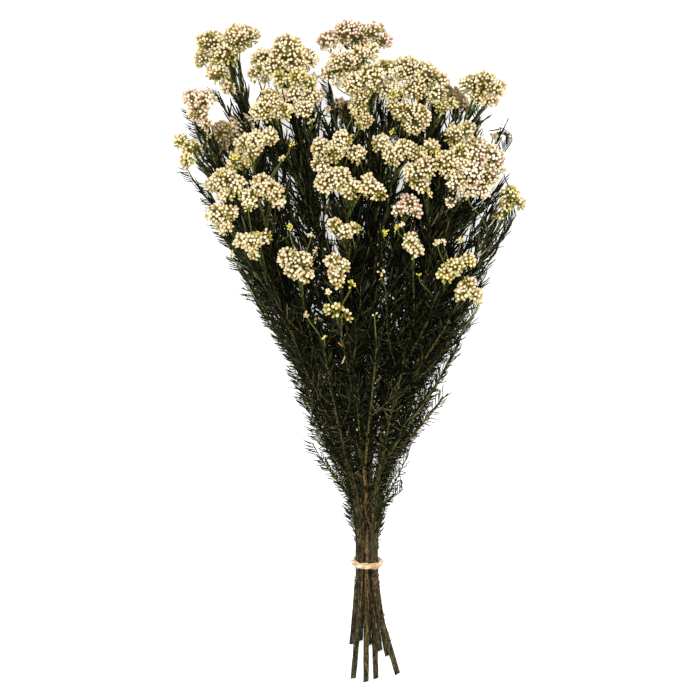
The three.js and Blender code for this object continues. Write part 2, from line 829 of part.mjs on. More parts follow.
// How far a head reaches from its middle in one direction, on its own side of its neighbours
function reachOf(head, direction, neighbours) {
  let reach = LEAST_REACH;
  for (const lobe of head.lobes) {
    const offset = lobe.centre.clone().sub(head.middle);
    const along = offset.dot(direction);
    const aside = offset.lengthSq() - along * along;
    if (aside < lobe.r * lobe.r) {
      reach = Math.max(reach, along + Math.sqrt(lobe.r * lobe.r - aside));
    }
  }
  const point = new THREE.Vector3();
  while (neighbours.length > 0 && reach > LEAST_REACH) {
    point.copy(head.middle).addScaledVector(direction, reach);
    if (depthAt(neighbours, point) - depthAt(head.lobes, point) > HEADS_APART) {
      break;
    }
    reach -= REACH_STEP;
  }
  return reach;
}

function headSolid(head, heads, grow) {
  const size = Math.max(...head.lobes.map((lobe) => lobe.centre.distanceTo(head.middle) + lobe.r));
  const neighbours = heads
    .filter((other) => other !== head)
    .flatMap((other) => other.lobes)
    .filter((lobe) => lobe.centre.distanceTo(head.middle) < lobe.r + size + 2 * HEADS_APART);
  const points = head.pattern.points.map((direction, index) => {
    const reach = reachOf(head, direction, neighbours);
    const dip = index < head.pattern.count ? -KNOB_RISE : Math.min(DIP, DIP_SHARE * reach);
    return direction.clone().multiplyScalar(reach - dip + grow).add(head.middle);
  });
  return solidOf(points, head.pattern.faces);
}

// The raffia tie

// Its rings follow the outside of the bundle: a hexagon of stems, rounded at each corner
function tieRings() {
  const rings = [];
  const corners = [[1.5, 0], [1, 1], [-1, 1], [-1.5, 0], [-1, -1], [1, -1]];
  corners.forEach(([place, row], k) => {
    for (let j = 0; j < TIE_STEPS; j += 1) {
      const angle = (Math.PI / 3) * (k - 0.5 + j / (TIE_STEPS - 1));
      const out = new THREE.Vector3(Math.cos(angle), 0, Math.sin(angle));
      const twist = TIE_TWIST * rings.length;
      const inward = Math.hypot(TIE_WIDE * Math.sin(twist), TIE_THICK * Math.cos(twist));
      const centre = new THREE.Vector3(place * SLOT_PITCH, 0, row * ROW_RISE);
      centre.addScaledVector(out, BARE_R + GAP + inward);
      centre.y = -TIE_SLOPE_X * centre.x - TIE_SLOPE_Z * centre.z;
      rings.push(tieRing(centre.add(TIE), out, twist));
    }
  });
  return rings;
}

// One ring of the twisted ribbon: an ellipse turned by the twist
function tieRing(centre, out, twist) {
  const wide = new THREE.Vector3(0, Math.cos(twist), 0).addScaledVector(out, Math.sin(twist));
  const thick = new THREE.Vector3(0, -Math.sin(twist), 0).addScaledVector(out, Math.cos(twist));
  const corners = [];
  for (let k = 0; k < TIE_SIDES; k += 1) {
    const angle = (2 * Math.PI * k) / TIE_SIDES;
    const corner = centre.clone().addScaledVector(wide, TIE_WIDE * Math.cos(angle));
    corners.push(corner.addScaledVector(thick, TIE_THICK * Math.sin(angle)));
  }
  return corners;
}

function hoopSolid(rings) {
  const sides = rings[0].length;
  const count = rings.length;
  const faces = [];
  for (let band = 0; band < count; band += 1) {
    for (let k = 0; k < sides; k += 1) {
      const [a, b] = [band * sides + k, band * sides + ((k + 1) % sides)];
      const [c, d] = [a, b].map((corner) => (corner + sides) % (count * sides));
      faces.push([a, c, d], [a, d, b]);
    }
  }
  return solidOf(rings.flat(), faces);
}

// The knot and its two short tails are under the bundle
function tailSolid(side) {
  const root = TIE.clone().add(new THREE.Vector3(0, 0, KNOT_DROP));
  const rings = TAIL_SHARES.map((share) => {
    const at = root.clone();
    at.x += side * TAIL * share;
    at.y -= TAIL_BEND * share * share;
    at.z -= TAIL_SAG * share;
    const size = TAIL_R * (1 - TAIL_TAPER * share);
    return [[0, 1], [1, 0], [0, -1], [-1, 0]].map(([y, z]) =>
      at.clone().add(new THREE.Vector3(0, y * size * side, z * size * TAIL_FLATNESS)),
    );
  });
  return tubeSolid(rings, new Map());
}

function knotSolid() {
  const centre = TIE.clone().add(new THREE.Vector3(0, 0, KNOT_DROP));
  const ball = knobPattern(evenDirections(KNOT_KNOBS));
  const points = ball.points.map((p) =>
    p.clone().multiply(vector(KNOT_SIZE)).add(centre),
  );
  return solidOf(points, ball.faces);
}

function tieSolid() {
  const hoop = hoopSolid(tieRings());
  return wasm.Manifold.union([hoop, knotSolid(), tailSolid(1), tailSolid(-1)]);
}

// Putting the bunch together

function solidFromGeometry(geometry) {
  geometry.deleteAttribute("normal");
  geometry.deleteAttribute("uv");
  const merged = mergeVertices(geometry, 1e-4);
  const faces = [];
  for (let f = 0; f < merged.index.count; f += 3) {
    faces.push([0, 1, 2].map((k) => merged.index.getX(f + k)));
  }
  return solidOf(pointsOf(merged), faces);
}

const slab = new THREE.BoxGeometry(FLOOR_WIDE, FLOOR_WIDE, FLOOR_DEEP);
const FLOOR = solidFromGeometry(slab.translate(0, 0, -FLOOR_DEEP / 2));

// What dips below the surface is pressed flat on it
function rested(solid) {
  return solid.boundingBox().min[2] < 0 ? solid.subtract(FLOOR) : solid;
}

function largestBody(solid) {
  return solid.decompose().reduce((best, piece) => (piece.volume() > best.volume() ? piece : best));
}

function boxesMeet(a, b) {
  const [p, q] = [a.boundingBox(), b.boundingBox()];
  return [0, 1, 2].every((k) => p.min[k] < q.max[k] && q.min[k] < p.max[k]);
}

function meshOf(name, solid, color, roughness) {
  const { vertProperties, triVerts } = solid.getMesh();
  const geometry = new THREE.BufferGeometry();
  geometry.setAttribute("position", new THREE.BufferAttribute(new Float32Array(vertProperties), 3));
  geometry.setIndex(new THREE.BufferAttribute(new Uint32Array(triVerts), 1));
  const material = new THREE.MeshStandardMaterial({ color, roughness, metalness: 0 });
  const mesh = new THREE.Mesh(geometry, material);
  mesh.name = name;
  return mesh;
}

function buildBunch() {
  const bunch = new THREE.Group();
  const stems = STEMS.map((plan) => ({ ...plan, heads: headsOf(plan) }));
  const heads = stems.flatMap((stem) => stem.heads);
  const routes = stems.flatMap(routesOf);
  relaxRoutes(routes, heads);
  routes.forEach(measure);
  routes.forEach(planWhorls);
  raiseNeedles(routes, heads);

  for (const stem of stems) {
    const own = routes.filter((route) => route.stem === stem);
    const solid = wasm.Manifold.union(own.map((route) => routeSolid(route, 0)));
    bunch.add(meshOf(`stem_${stem.name}`, rested(largestBody(solid)), STEM_COLOUR, 0.85));
  }

  const sockets = routes.map((route) => leafySolid(route, LOBE_GAP));
  const built = [];
  for (const head of heads) {
    let solid = headSolid(head, heads, 0);
    for (const other of [...sockets, ...built]) {
      if (boxesMeet(solid, other) && !solid.intersect(other).isEmpty()) {
        solid = solid.subtract(other);
      }
    }
    built.push(headSolid(head, heads, HEAD_GROWTH));
    const body = rested(largestBody(solid));
    bunch.add(meshOf(head.name, body, HEAD_COLOURS[head.kind], 0.9));
  }

  bunch.add(meshOf("tie", tieSolid(), TIE_COLOUR, 0.8));
  bunch.position.set(-ORIGIN_X, -ORIGIN_Y, 0);
  return bunch;
}

export default buildBunch();
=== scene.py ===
# The finished look of a dried rice flower bunch, laid down on a pale floor.
# Places and sizes are millimetres in the bunch's own layout, as they are in the solids,
# and add_piece turns them into the frame's metres.

import json
import math

import bpy
import numpy as np
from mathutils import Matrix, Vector

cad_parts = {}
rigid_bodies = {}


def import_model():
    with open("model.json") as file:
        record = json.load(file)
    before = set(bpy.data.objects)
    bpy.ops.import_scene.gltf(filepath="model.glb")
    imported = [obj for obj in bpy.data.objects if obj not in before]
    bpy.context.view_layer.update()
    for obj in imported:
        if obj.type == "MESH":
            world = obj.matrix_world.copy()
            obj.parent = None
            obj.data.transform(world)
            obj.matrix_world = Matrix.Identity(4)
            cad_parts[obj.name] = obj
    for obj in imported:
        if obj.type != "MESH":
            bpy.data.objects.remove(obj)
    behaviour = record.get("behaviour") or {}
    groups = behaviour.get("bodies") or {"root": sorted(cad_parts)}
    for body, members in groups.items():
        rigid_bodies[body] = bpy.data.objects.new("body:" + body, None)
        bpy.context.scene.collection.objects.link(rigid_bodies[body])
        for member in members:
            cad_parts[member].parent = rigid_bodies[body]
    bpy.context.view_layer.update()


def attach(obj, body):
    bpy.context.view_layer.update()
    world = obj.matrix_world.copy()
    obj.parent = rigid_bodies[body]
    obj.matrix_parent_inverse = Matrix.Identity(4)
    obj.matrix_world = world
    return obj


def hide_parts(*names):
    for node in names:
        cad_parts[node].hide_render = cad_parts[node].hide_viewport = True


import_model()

# Metres in a millimetre, turns in radians, and the one source of random numbers
MM = 0.001
CIRCLE = 2 * math.pi
GOLDEN_TURN = math.pi * (3 - math.sqrt(5))
ANY_TURN = 6.3
rng = np.random.default_rng(11)

# The layout's place in the frame, and the tie with its rows of stems
ORIGIN = np.array([0.5, -2.5, 0])
TIE = np.array([15.3, -192, 14])
SLOT_PITCH = 5.1
ROW_RISE = 4.42
LASHED_BELOW = 10
LASHED_ABOVE = 34

# Radii of the stems and of their side branches
BARE_R = 2.4
LEAFY_R = 2.1
HEAD_R = 1.3
BRANCH_R = 1.5
BRANCH_TIP_R = 1.05
SHOOT_R = 0.85
SHOOT_TIP_R = 0.45
LEAFY_FROM_Y = -128
SOCKET_DEPTH = 0.1

# Routes, as the solids' routes are laid
STEP = 6
FRAME_SPAN = 3
LASHED_PULLS = (0.3, 0.3)
CROWN_PULLS = (0.16, 0.25)
BRANCH_PULLS = (0.3, 0.35)
LEADER_TURN = 0.5
BRANCH_TURN = 0.4
BRANCH_RISE = 0.35
LEAVING_TURN = 0.3
FORK_DROP = 70
FORK_SLOPE = 2.2
LOWEST_FORK_Y = -116
PASSES = 60
NEAR = 24
REFRESH = 10
LEAST_ROOM = 2.62
MOST_ROOM = 5.2
ROOM_GROWTH = 0.03
SMOOTHING = 0.2
PUSH = 0.3
HEAD_ROOM = 2.2

# The stems: the name, the row and the place in it at the tie, the cut end, and the tips of the
# shoots without heads
STEMS = [
    ["01", 1, -1, [3, -296, 22], [[-78, 60, 92], [-24, 4, 96]]],
    ["02", 1, 0, [14.4, -299, 23], [[24, 4, 104]]],
    ["03", 1, 1, [42.8, -292, 21], [[96, 2, 84], [124, 104, 100]]],
    ["04", 0, -1.5, [1.8, -265, 12], [[-104, 96, 66], [-84, 46, 62]]],
    ["05", 0, -0.5, [9, -262, 13], [[-34, 62, 74]]],
    ["06", 0, 0.5, [27, -271, 13], [[34, 40, 76]]],
    ["07", 0, 1.5, [34, -275.5, 14], [[136, 196, 88], [84, -42, 50]]],
    ["08", -1, -1, [7, -258, 5.5], [[-92, 110, 24], [-52, 48, 24]]],
    ["09", -1, 0, [17.2, -266, 5.4], [[20, 60, 30]]],
    ["10", -1, 1, [23.5, -296.5, 2], [[72, 44, 36], [104, 132, 50]]],
]

# The heads by stem and letter: the kind and the lobes [x, y, z, radius]. The stem enters the last lobe.
HEADS = {
    "01a": ["cream", [-113, 152, 130, 10], [-102, 147, 134, 9], [-110, 139, 126, 7.5], [-124, 148, 118, 6],
        [-106, 150, 116, 9]],
    "01b": ["cream", [-79, 148, 136, 9.5], [-68, 142, 134, 8.5], [-90, 136, 132, 8.5], [-64, 131, 126, 6],
        [-76, 143, 122, 9]],
    "01c": ["cream", [-120, 121, 118, 9], [-108, 122, 122, 8], [-111, 111, 116, 7.5], [-115, 118, 106, 8]],
    "01d": ["cream", [-97, 98, 116, 6.5], [-87, 96, 122, 8.5], [-76, 101, 118, 6.5], [-86, 85, 112, 6],
        [-88, 98, 108, 7]],
    "01e": ["cream", [-56, 83, 136, 8.5], [-43, 79, 138, 9], [-50, 71, 134, 8], [-40, 66, 128, 7],
        [-48, 77, 124, 8]],
    "01f": ["cream", [-95, 184, 134, 8], [-84, 187, 138, 8.5], [-72, 191, 132, 8], [-88, 176, 130, 6.5],
        [-84, 185, 124, 8]],
    "02a": ["cream", [-25, 181, 140, 9], [-6, 188, 144, 9], [-14, 176, 146, 9], [6, 174, 138, 7.5],
        [-26, 166, 138, 8.5], [-10, 182, 128, 9]],
    "02b": ["cream", [-22, 148, 146, 9.5], [-10, 154, 150, 10], [0, 144, 148, 8.5], [16, 148, 144, 9],
        [25, 141, 142, 8], [16, 145, 130, 8], [-4, 148, 134, 9]],
    "02c": ["cream", [-15, 79, 134, 7.5], [-7, 74, 136, 7], [-13, 66, 130, 7], [-9, 59, 124, 4.5],
        [-11, 74, 122, 7]],
    "02d": ["green", [-18, 36, 114, 6], [-4, 30, 112, 6], [-11, 35, 116, 6.5]],
    "02e": ["cream", [5, 108, 128, 6.5], [-14, 111, 124, 6], [-4, 106, 126, 7]],
    "02f": ["pink", [45, 126, 120, 6.5], [54, 133, 122, 7.5], [59, 124, 116, 6], [52, 128, 108, 7]],
    "03a": ["cream", [86, 166, 146, 11], [100, 175, 142, 10], [95, 151, 142, 10], [92, 163, 128, 10]],
    "03b": ["cream", [57, 157, 138, 9.5], [69, 163, 142, 10], [64, 148, 136, 8], [64, 157, 124, 9]],
    "03c": ["pink", [114, 178, 136, 12], [127, 172, 130, 10.5], [111, 160, 140, 12], [124, 156, 132, 9.5],
        [105, 142, 130, 8], [119, 143, 128, 8], [118, 166, 116, 11]],
    "03d": ["green", [85, 68, 118, 7.5], [95, 76, 120, 7.5], [106, 80, 113, 7], [93, 72, 106, 7]],
    "03e": ["cream", [105, 59, 108, 7.5], [100, 50, 106, 6.5], [114, 49, 100, 6], [104, 55, 96, 7]],
    "03f": ["cream", [54, 97, 112, 7.5], [59, 88, 108, 6.5], [56, 93, 100, 6.5]],
    "04a": ["pink", [-142, 227, 92, 9], [-130, 225, 96, 8.5], [-137, 213, 96, 8.5], [-129, 203, 90, 5.5],
        [-136, 219, 78, 9]],
    "04b": ["green", [-151, 188, 84, 7], [-142, 180, 88, 8.5], [-146, 169, 82, 6.5], [-143, 182, 74, 7]],
    "04c": ["green", [-103, 169, 110, 7.5], [-109, 161, 104, 6], [-89, 166, 110, 6.5], [-100, 167, 98, 7]],
    "05a": ["cream", [-56, 269, 104, 14], [-79, 261, 96, 10.5], [-38, 261, 98, 9.5], [-67, 254, 106, 10.5],
        [-48, 256, 108, 10.5], [-84, 248, 90, 8], [-58, 262, 82, 13]],
    "05b": ["green", [-63, 243, 118, 7.5], [-46, 244, 122, 8.5], [-36, 238, 116, 7], [-50, 242, 108, 7]],
    "05c": ["cream", [-79, 214, 124, 10], [-70, 225, 120, 9.5], [-61, 213, 126, 8.5], [-71, 216, 108, 10]],
    "05d": ["cream", [-50, 228, 112, 8], [-34, 227, 114, 8.5], [-42, 216, 116, 8.5], [-42, 222, 100, 8.5]],
    "06a": ["cream", [2, 238, 112, 10], [19, 243, 116, 13], [34, 250, 110, 11], [37, 232, 114, 9],
        [10, 226, 108, 8], [6, 216, 106, 7.5], [14, 207, 108, 7.5], [18, 240, 94, 12]],
    "06b": ["cream", [-8, 256, 96, 12], [9, 263, 98, 10.5], [-18, 247, 94, 8], [20, 268, 92, 7],
        [0, 258, 80, 10]],
    "06c": ["cream", [50, 213, 116, 10], [63, 210, 118, 10], [57, 201, 114, 8.5], [41, 218, 108, 8],
        [56, 209, 100, 10]],
    "06d": ["cream", [28, 184, 130, 9], [37, 173, 132, 8.5], [50, 180, 134, 9], [61, 174, 130, 8],
        [73, 181, 124, 7.5], [44, 179, 118, 9]],
    "07a": ["cream", [50, 252, 106, 12], [67, 248, 108, 11.5], [81, 241, 102, 9], [58, 234, 112, 10.5],
        [77, 230, 106, 9], [66, 243, 90, 12]],
    "07b": ["cream", [108, 238, 86, 9.5], [121, 241, 88, 10.5], [131, 235, 84, 8.5], [115, 227, 90, 8],
        [126, 223, 84, 6.5], [120, 235, 72, 9]],
    "07c": ["green", [92, 222, 94, 6], [82, 218, 98, 7.5]],
    "07d": ["cream", [95, 192, 112, 9.5], [106, 197, 108, 7.5], [98, 193, 98, 8]],
    "07e": ["green", [144, 139, 92, 8.5], [152, 132, 90, 6.5], [139, 129, 92, 6], [132, 120, 86, 4.5],
        [145, 135, 80, 7]],
    "08a": ["cream", [-126, 277, 62, 12], [-101, 281, 64, 12.5], [-90, 283, 60, 8], [-133, 261, 58, 8],
        [-119, 249, 64, 10.5], [-109, 236, 62, 6.5], [-113, 266, 66, 12], [-112, 268, 46, 12]],
    "08b": ["dim", [-115, 198, 50, 9], [-118, 186, 46, 8], [-112, 190, 9.5, 11], [-112, 190, 30, 11]],
    "08c": ["cream", [-96, 202, 66, 9.5], [-92, 198, 50, 9]],
    "08d": ["dim", [-81, 120, 60, 7], [-74, 112, 48, 8]],
    "09a": ["pink", [-20, 278, 70, 9.5], [-5, 286, 74, 10.5], [6, 284, 72, 11], [22, 286, 70, 9.5],
        [30, 279, 66, 8], [5, 281, 54, 11]],
    "09b": ["dim", [-8, 218, 66, 8.5], [-2, 212, 52, 9]],
    "09c": ["dim", [-13, 127, 70, 8.5], [-6, 122, 56, 8]],
    "09d": ["cream", [-35, 26, 60, 6], [-30, 24, 50, 6]],
    "09e": ["dim", [0, 170, 14, 12], [12, 160, 16, 10], [-12, 163, 18, 9], [0, 163, 24, 8]],
    "09f": ["dim", [-60, 180, 20, 11], [-50, 170, 20, 10]],
    "10a": ["dim", [95, 230, 60, 6], [88, 230, 40, 9], [98, 222, 46, 9]],
    "10b": ["dim", [78, 93, 56, 7], [74, 88, 44, 8]],
    "10c": ["pink", [90, 135, 84, 7.5], [87, 124, 80, 6], [90, 130, 68, 7]],
    "10d": ["dim", [85, 185, 8, 11], [97, 178, 14, 9], [88, 180, 20, 8]],
    "10e": ["dim", [45, 200, 24, 11], [55, 190, 22, 10]],
}

# Small sprigs of buds: the place [x, y, z], the number of buds and their kind
SPRIGS = [
    [-85, 104, 126, 8, "young"], [-54, 109, 120, 9, "young"], [-35, 102, 122, 6, "cream"],
    [1, 58, 128, 8, "young"], [-20, 51, 124, 8, "cream"], [30, 104, 130, 9, "young"],
    [22, 31, 112, 2, "cream"], [28, 69, 122, 5, "cream"], [-107, 85, 106, 5, "cream"],
    [-23, 10, 108, 3, "young"], [99, 97, 108, 8, "cream"], [79, 94, 118, 12, "cream"],
    [43, 108, 120, 7, "young"], [38, 228, 127, 7, "young"], [36, 195, 134, 6, "young"],
    [76, 178, 140, 9, "young"], [-53, 184, 138, 6, "young"], [-102, 172, 138, 10, "young"],
    [-30, 88, 124, 4, "cream"], [62, 66, 112, 3, "young"], [-34, 203, 118, 9, "dim"],
    [-128, 192, 92, 7, "dim"], [-30, 246, 104, 10, "dim"], [3, 214, 128, 14, "green"],
    [8, 200, 126, 10, "green"], [103, 199, 122, 12, "green"], [93, 200, 112, 7, "dim"],
    [91, 234, 101, 9, "dry"], [90, 131, 128, 16, "pink"], [70, 138, 136, 12, "green"],
    [106, 137, 130, 10, "cream"], [-62, 172, 128, 7, "green"], [-76, 230, 112, 9, "green"],
    [47, 112, 118, 6, "pink"], [-91, 126, 128, 8, "green"], [61, 248, 120, 8, "green"],
    [-76, 242, 84, 14, "dim"], [-60, 236, 110, 10, "young"], [-27, 229, 98, 13, "dim"],
    [-12, 239, 100, 13, "green"], [-9, 271, 92, 11, "pink"], [48, 228, 106, 11, "cream"],
    [72, 221, 100, 10, "dim"], [138, 161, 112, 9, "cream"], [-20, 216, 104, 9, "dim"],
    [-38, 31, 104, 7, "dim"], [84, 97, 112, 8, "pink"], [115, 42, 98, 8, "green"],
    [22, 263, 98, 10, "cream"], [-20, 272, 82, 9, "pink"], [-105, 207, 62, 8, "dim"],
    [-118, 176, 62, 9, "dim"], [48, 245, 98, 9, "cream"], [42, 226, 98, 8, "green"],
    [55, 227, 100, 9, "cream"], [2, 257, 110, 9, "pink"], [14, 268, 110, 8, "pink"],
    [98, 226, 106, 8, "dry"], [128, 190, 100, 13, "dim"],
]

# The share of buds that a loose head lacks, and how much warmer or cooler some heads are
LOOSE = {"head_02d": 0.55}
WARMER = {"head_09a": 0.35, "head_04a": 0.15, "head_02f": 0.2, "head_03c": -0.15}

# Further twigs by stem: the height y where they leave it and the tip
TWIGS = {
    "01": [(-112, -38, -40, 40), (40, -124, 176, 90), (-128, -32, -72, 34), (-60, -90, 54, 60),
        (90, -74, 196, 84), (-110, -50, -18, 40), (-124, -38, -36, 44)],
    "02": [(20, 30, 150, 104)],
    "03": [(60, 66, 190, 100), (-60, 92, 18, 50), (-110, 84, -22, 36), (-120, 72, -48, 40),
        (-140, 56, -52, 34)],
    "04": [(-128, -30, -62, 26), (-60, -60, 8, 34), (40, -118, 112, 52), (90, -128, 196, 70),
        (20, -131, 150, 50), (-150, -22, -98, 22), (-128, -46, -26, 26), (-60, -72, 28, 44),
        (-20, -104, 82, 50), (110, -134, 204, 74), (60, -146, 162, 66), (-182, 1, -142, 16),
        (-150, -34, -84, 28), (-150, -42, -42, 30), (120, -143, 214, 74), (100, -139, 200, 68)],
    "05": [(120, -36, 226, 88), (60, -66, 176, 84), (80, -14, 222, 70), (130, -26, 224, 84),
        (100, -72, 206, 90), (110, -53, 214, 90), (40, -52, 124, 60)],
    "06": [(110, 22, 226, 60), (60, 30, 224, 76), (40, 27, 202, 92), (120, 38, 214, 84), (40, 36, 118, 66),
        (-20, 38, 54, 56)],
    "07": [(-170, 55, -86, 24), (-10, 112, 52, 66), (40, 139, 178, 82), (60, 118, 214, 70),
        (20, 138, 174, 70), (-30, 146, 116, 60), (-140, 44, -108, 24), (130, 126, 226, 72),
        (-20, 150, 122, 66), (-60, 108, 32, 46), (-182, 33, -136, 20), (-130, 68, -34, 42)],
    "08": [(130, -97, 232, 64), (-20, -112, 102, 34), (140, -103, 268, 52), (50, -127, 136, 44),
        (-182, 3, -150, 8), (130, -119, 234, 42)],
    "09": [(110, -17, 230, 74), (100, -2, 214, 92), (80, -19, 240, 60), (60, -22, 206, 84),
        (-10, -29, 76, 60)],
    "10": [(-128, 66, -62, 30), (70, 78, 214, 62), (0, 104, 92, 40), (-40, 136, 98, 40), (-70, 116, 38, 40),
        (-150, 48, -126, 22), (-50, 124, 70, 40), (-140, 56, -44, 30), (-176, 38, -112, 20),
        (-182, 31, -146, 12), (-150, 50, -58, 24), (-120, 78, -22, 30)],
}

# One twig ends in a curl: the points that follow its tip
CURLED_TWIG = (40, 139, 178, 82)
CURL = [[144, 185, 87], [145.8, 189.5, 90], [144.5, 194.4, 92], [139.5, 198, 93], [134, 200, 93]]

# The left, right and top sides of the leafy part at some heights y
OUTLINE_Y = [-162, -126, -108, -90, -54, -18, 0, 36, 72, 108, 144, 200]
OUTLINE = [
    [6, -2, -11, -23, -30, -49, -58, -78, -97, -114, -133, -134],
    [23, 38, 42, 47, 63, 82, 96, 110, 117, 137, 140, 116],
    [26, 30, 36, 44, 68, 92, 100, 114, 124, 130, 138, 140],
]
HIGHEST_SHOOT = 224
SHOOT_FLOOR = 7
FLOOR_GAP = 0.2

# Bark, branches and leaves, in linear colour
BARKS = [(0.060, 0.039, 0.017), (0.034, 0.023, 0.010), (0.022, 0.029, 0.013), (0.112, 0.065, 0.027)]
STEM_BARK = [1, 3, 0, 1, 2, 1, 0, 2, 1, 0]
MOSS = (0.026, 0.038, 0.012)
BROWN = (0.070, 0.046, 0.018)
OLIVE = (0.078, 0.070, 0.015)
YOUNG = (0.078, 0.088, 0.013)
NEEDLE_DARK = (0.003, 0.0035, 0.0012)
NEEDLE_MID = (0.024, 0.027, 0.010)
NEEDLE_PALE = (0.105, 0.108, 0.046)
STRAW = (0.20, 0.16, 0.075)
FRESH = (0.065, 0.12, 0.016)

# Buds by kind: the palest tips, warmer ones, young ones, and the shares of young and of warm ones
BUDS = {
    "cream": [(0.90, 0.82, 0.62), (0.76, 0.58, 0.35), (0.42, 0.38, 0.02), 0.16, 0.30],
    "pink": [(0.95, 0.85, 0.71), (0.80, 0.54, 0.47), (0.48, 0.42, 0.05), 0.02, 0.28],
    "green": [(0.90, 0.82, 0.53), (0.70, 0.54, 0.22), (0.38, 0.37, 0.012), 0.40, 0.32],
    # This kind is the cream buds darkened with painted shade, for the heads and sprigs that lie deeper in
    # the bunch
    "dim": [(0.64, 0.52, 0.35), (0.44, 0.31, 0.19), (0.26, 0.22, 0.04), 0.08, 0.45],
    "young": [(0.82, 0.75, 0.30), (0.70, 0.55, 0.06), (0.44, 0.44, 0.012), 0.42, 0.45],
    "dry": [(0.20, 0.13, 0.085), (0.13, 0.080, 0.055), (0.11, 0.08, 0.025), 0.15, 0.5],
}
HUSK = (0.27, 0.18, 0.035)
HEART = (0.085, 0.066, 0.010)
WAIST = (0.39, 0.342, 0.19)
SLOTS = {**{kind: f"flower_{kind}" for kind in ("cream", "pink", "green", "dim")}, "young": "flower_green"}


def vec(*values):
    return np.array(values, float)


def unit(v):
    return v / np.linalg.norm(v, axis=-1, keepdims=True)


def mix(a, b, share):
    return np.asarray(a) + (np.asarray(b) - np.asarray(a)) * np.asarray(share)[..., None]


# From 0 at the start to 1 a span further on, and level on both sides
def rise(value, start, span):
    return np.clip((value - start) / span, 0, 1)


# How far along a line each of its corners lies
def reach_of(corners):
    steps = np.linalg.norm(np.diff(corners, axis=0), axis=1)
    return np.concatenate([[0], np.cumsum(steps)])


def sampled(distance, reach, corners):
    return np.stack([np.interp(distance, reach, corners[:, k]) for k in range(3)], axis=-1)


# Two directions at right angles to a way and to each other, the first as near to X as can be
def sides_of(along):
    across = unit(vec(1, 0, 0) - along * along[..., :1])
    return across, np.cross(across, along)


# Directions turned round a way from the first of its sides to the second
def around(across, over, turn):
    return across * np.cos(turn)[..., None] + over * np.sin(turn)[..., None]


# The routes, worked out as the solids' are, so that each piece lies where its solid is

class Head:
    def __init__(self, name, row):
        self.name = f"head_{name}"
        self.kind = row[0]
        self.lobes = np.array(row[1:], float)
        self.middle = self.lobes[:, :3].mean(axis=0)

    def socket(self, axis):
        core = self.lobes[-1]
        return core[:3] - axis * SOCKET_DEPTH * core[3]


class Stem:
    def __init__(self, name, row, place, cut, shoots):
        self.name = name
        self.row = row
        self.slot = TIE + vec(place * SLOT_PITCH, 0, row * ROW_RISE)
        self.cut = vec(*cut)
        self.shoots = shoots
        self.heads = [Head(key, lobes) for key, lobes in HEADS.items() if key[:-1] == name]


class Route:
    def __init__(self, stem, points, head=None, parent=None, fork=0):
        self.stem = stem
        self.points = points
        self.head = head
        self.parent = parent
        self.fork = fork
        self.main = parent is None
        self.comb_from = math.inf

    def measure(self):
        self.reach = reach_of(self.points)
        self.length = self.reach[-1]
        above = np.argmax(self.points[:, 1] > LEAFY_FROM_Y)
        self.leafy_from = self.reach[above] if self.main else 0

    def place(self, distance):
        return sampled(np.clip(distance, 0, self.length), self.reach, self.points)

    def frames(self, distance):
        along = unit(self.place(distance + FRAME_SPAN) - self.place(distance - FRAME_SPAN))
        return self.place(distance), along, *sides_of(along)

    def radius(self, distance):
        if self.main:
            share = (distance - self.leafy_from) / (self.length - self.leafy_from)
            return np.where(share < 0, BARE_R, LEAFY_R + (HEAD_R - LEAFY_R) * share)
        return BRANCH_R + (BRANCH_TIP_R - BRANCH_R) * distance / self.length


class Shoot(Route):
    def radius(self, distance):
        return SHOOT_R + (SHOOT_TIP_R - SHOOT_R) * distance / self.length


def bezier(start, start_way, end, end_way, pulls, step=STEP):
    reach = np.linalg.norm(end - start)
    a = start + start_way * reach * pulls[0]
    b = end - end_way * reach * pulls[1]
    t = np.linspace(0, 1, max(3, math.floor(reach / step + 0.5)) + 1)[:, None]
    s = 1 - t
    return s**3 * start + 3 * s * s * t * a + 3 * s * t * t * b + t**3 * end


def main_route(stem):
    along = vec(0, 1, 0)
    below = stem.slot - along * LASHED_BELOW
    above = stem.slot + along * LASHED_ABOVE
    head = stem.heads[0]
    axis = unit(unit(head.middle - above) + vec(0, 0, LEADER_TURN * stem.row))
    legs = [
        bezier(stem.cut, unit(below - stem.cut), below, along, LASHED_PULLS),
        bezier(below, along, above, along, LASHED_PULLS)[1:],
        bezier(above, along, head.socket(axis), axis, CROWN_PULLS)[1:],
    ]
    return Route(stem, np.vstack(legs), head)


# A side branch leaves the main stem below its tip, the lower the further out it reaches
def branch_route(stem, main, tip_at, head=None):
    level = main.points[np.argmin(abs(main.points[:, 1] - tip_at[1]))]
    aside = math.hypot(tip_at[0] - level[0], tip_at[2] - level[2])
    fork_y = max(tip_at[1] - max(FORK_DROP, FORK_SLOPE * aside), LOWEST_FORK_Y)
    fork = int(np.argmax(main.points[:, 1] > fork_y))
    root = main.points[fork].copy()
    onward = unit(main.points[fork + 1] - root)
    axis = unit(tip_at - root)
    leaving = unit(axis + (onward - axis) * LEAVING_TURN)
    axis = unit(axis + vec(0, BRANCH_RISE, BRANCH_TURN * stem.row))
    tip = head.socket(axis) if head else tip_at
    return Route(stem, bezier(root, leaving, tip, axis, BRANCH_PULLS), head, main, fork)


def routes_of(stem):
    main = main_route(stem)
    branches = [branch_route(stem, main, head.middle, head) for head in stem.heads[1:]]
    return [main, *branches, *[branch_route(stem, main, vec(*tip)) for tip in stem.shoots]]


def pinned(route):
    y = route.points[:, 1]
    held = np.zeros(len(y), bool)
    held[[0, -2, -1]] = True
    if route.main:
        held |= (y > TIE[1] - LASHED_BELOW - 1) & (y < TIE[1] + LASHED_ABOVE + 1)
    return held


def room_at(y):
    return np.minimum(LEAST_ROOM + np.maximum(0, y - TIE[1] - LASHED_ABOVE) * ROOM_GROWTH, MOST_ROOM)


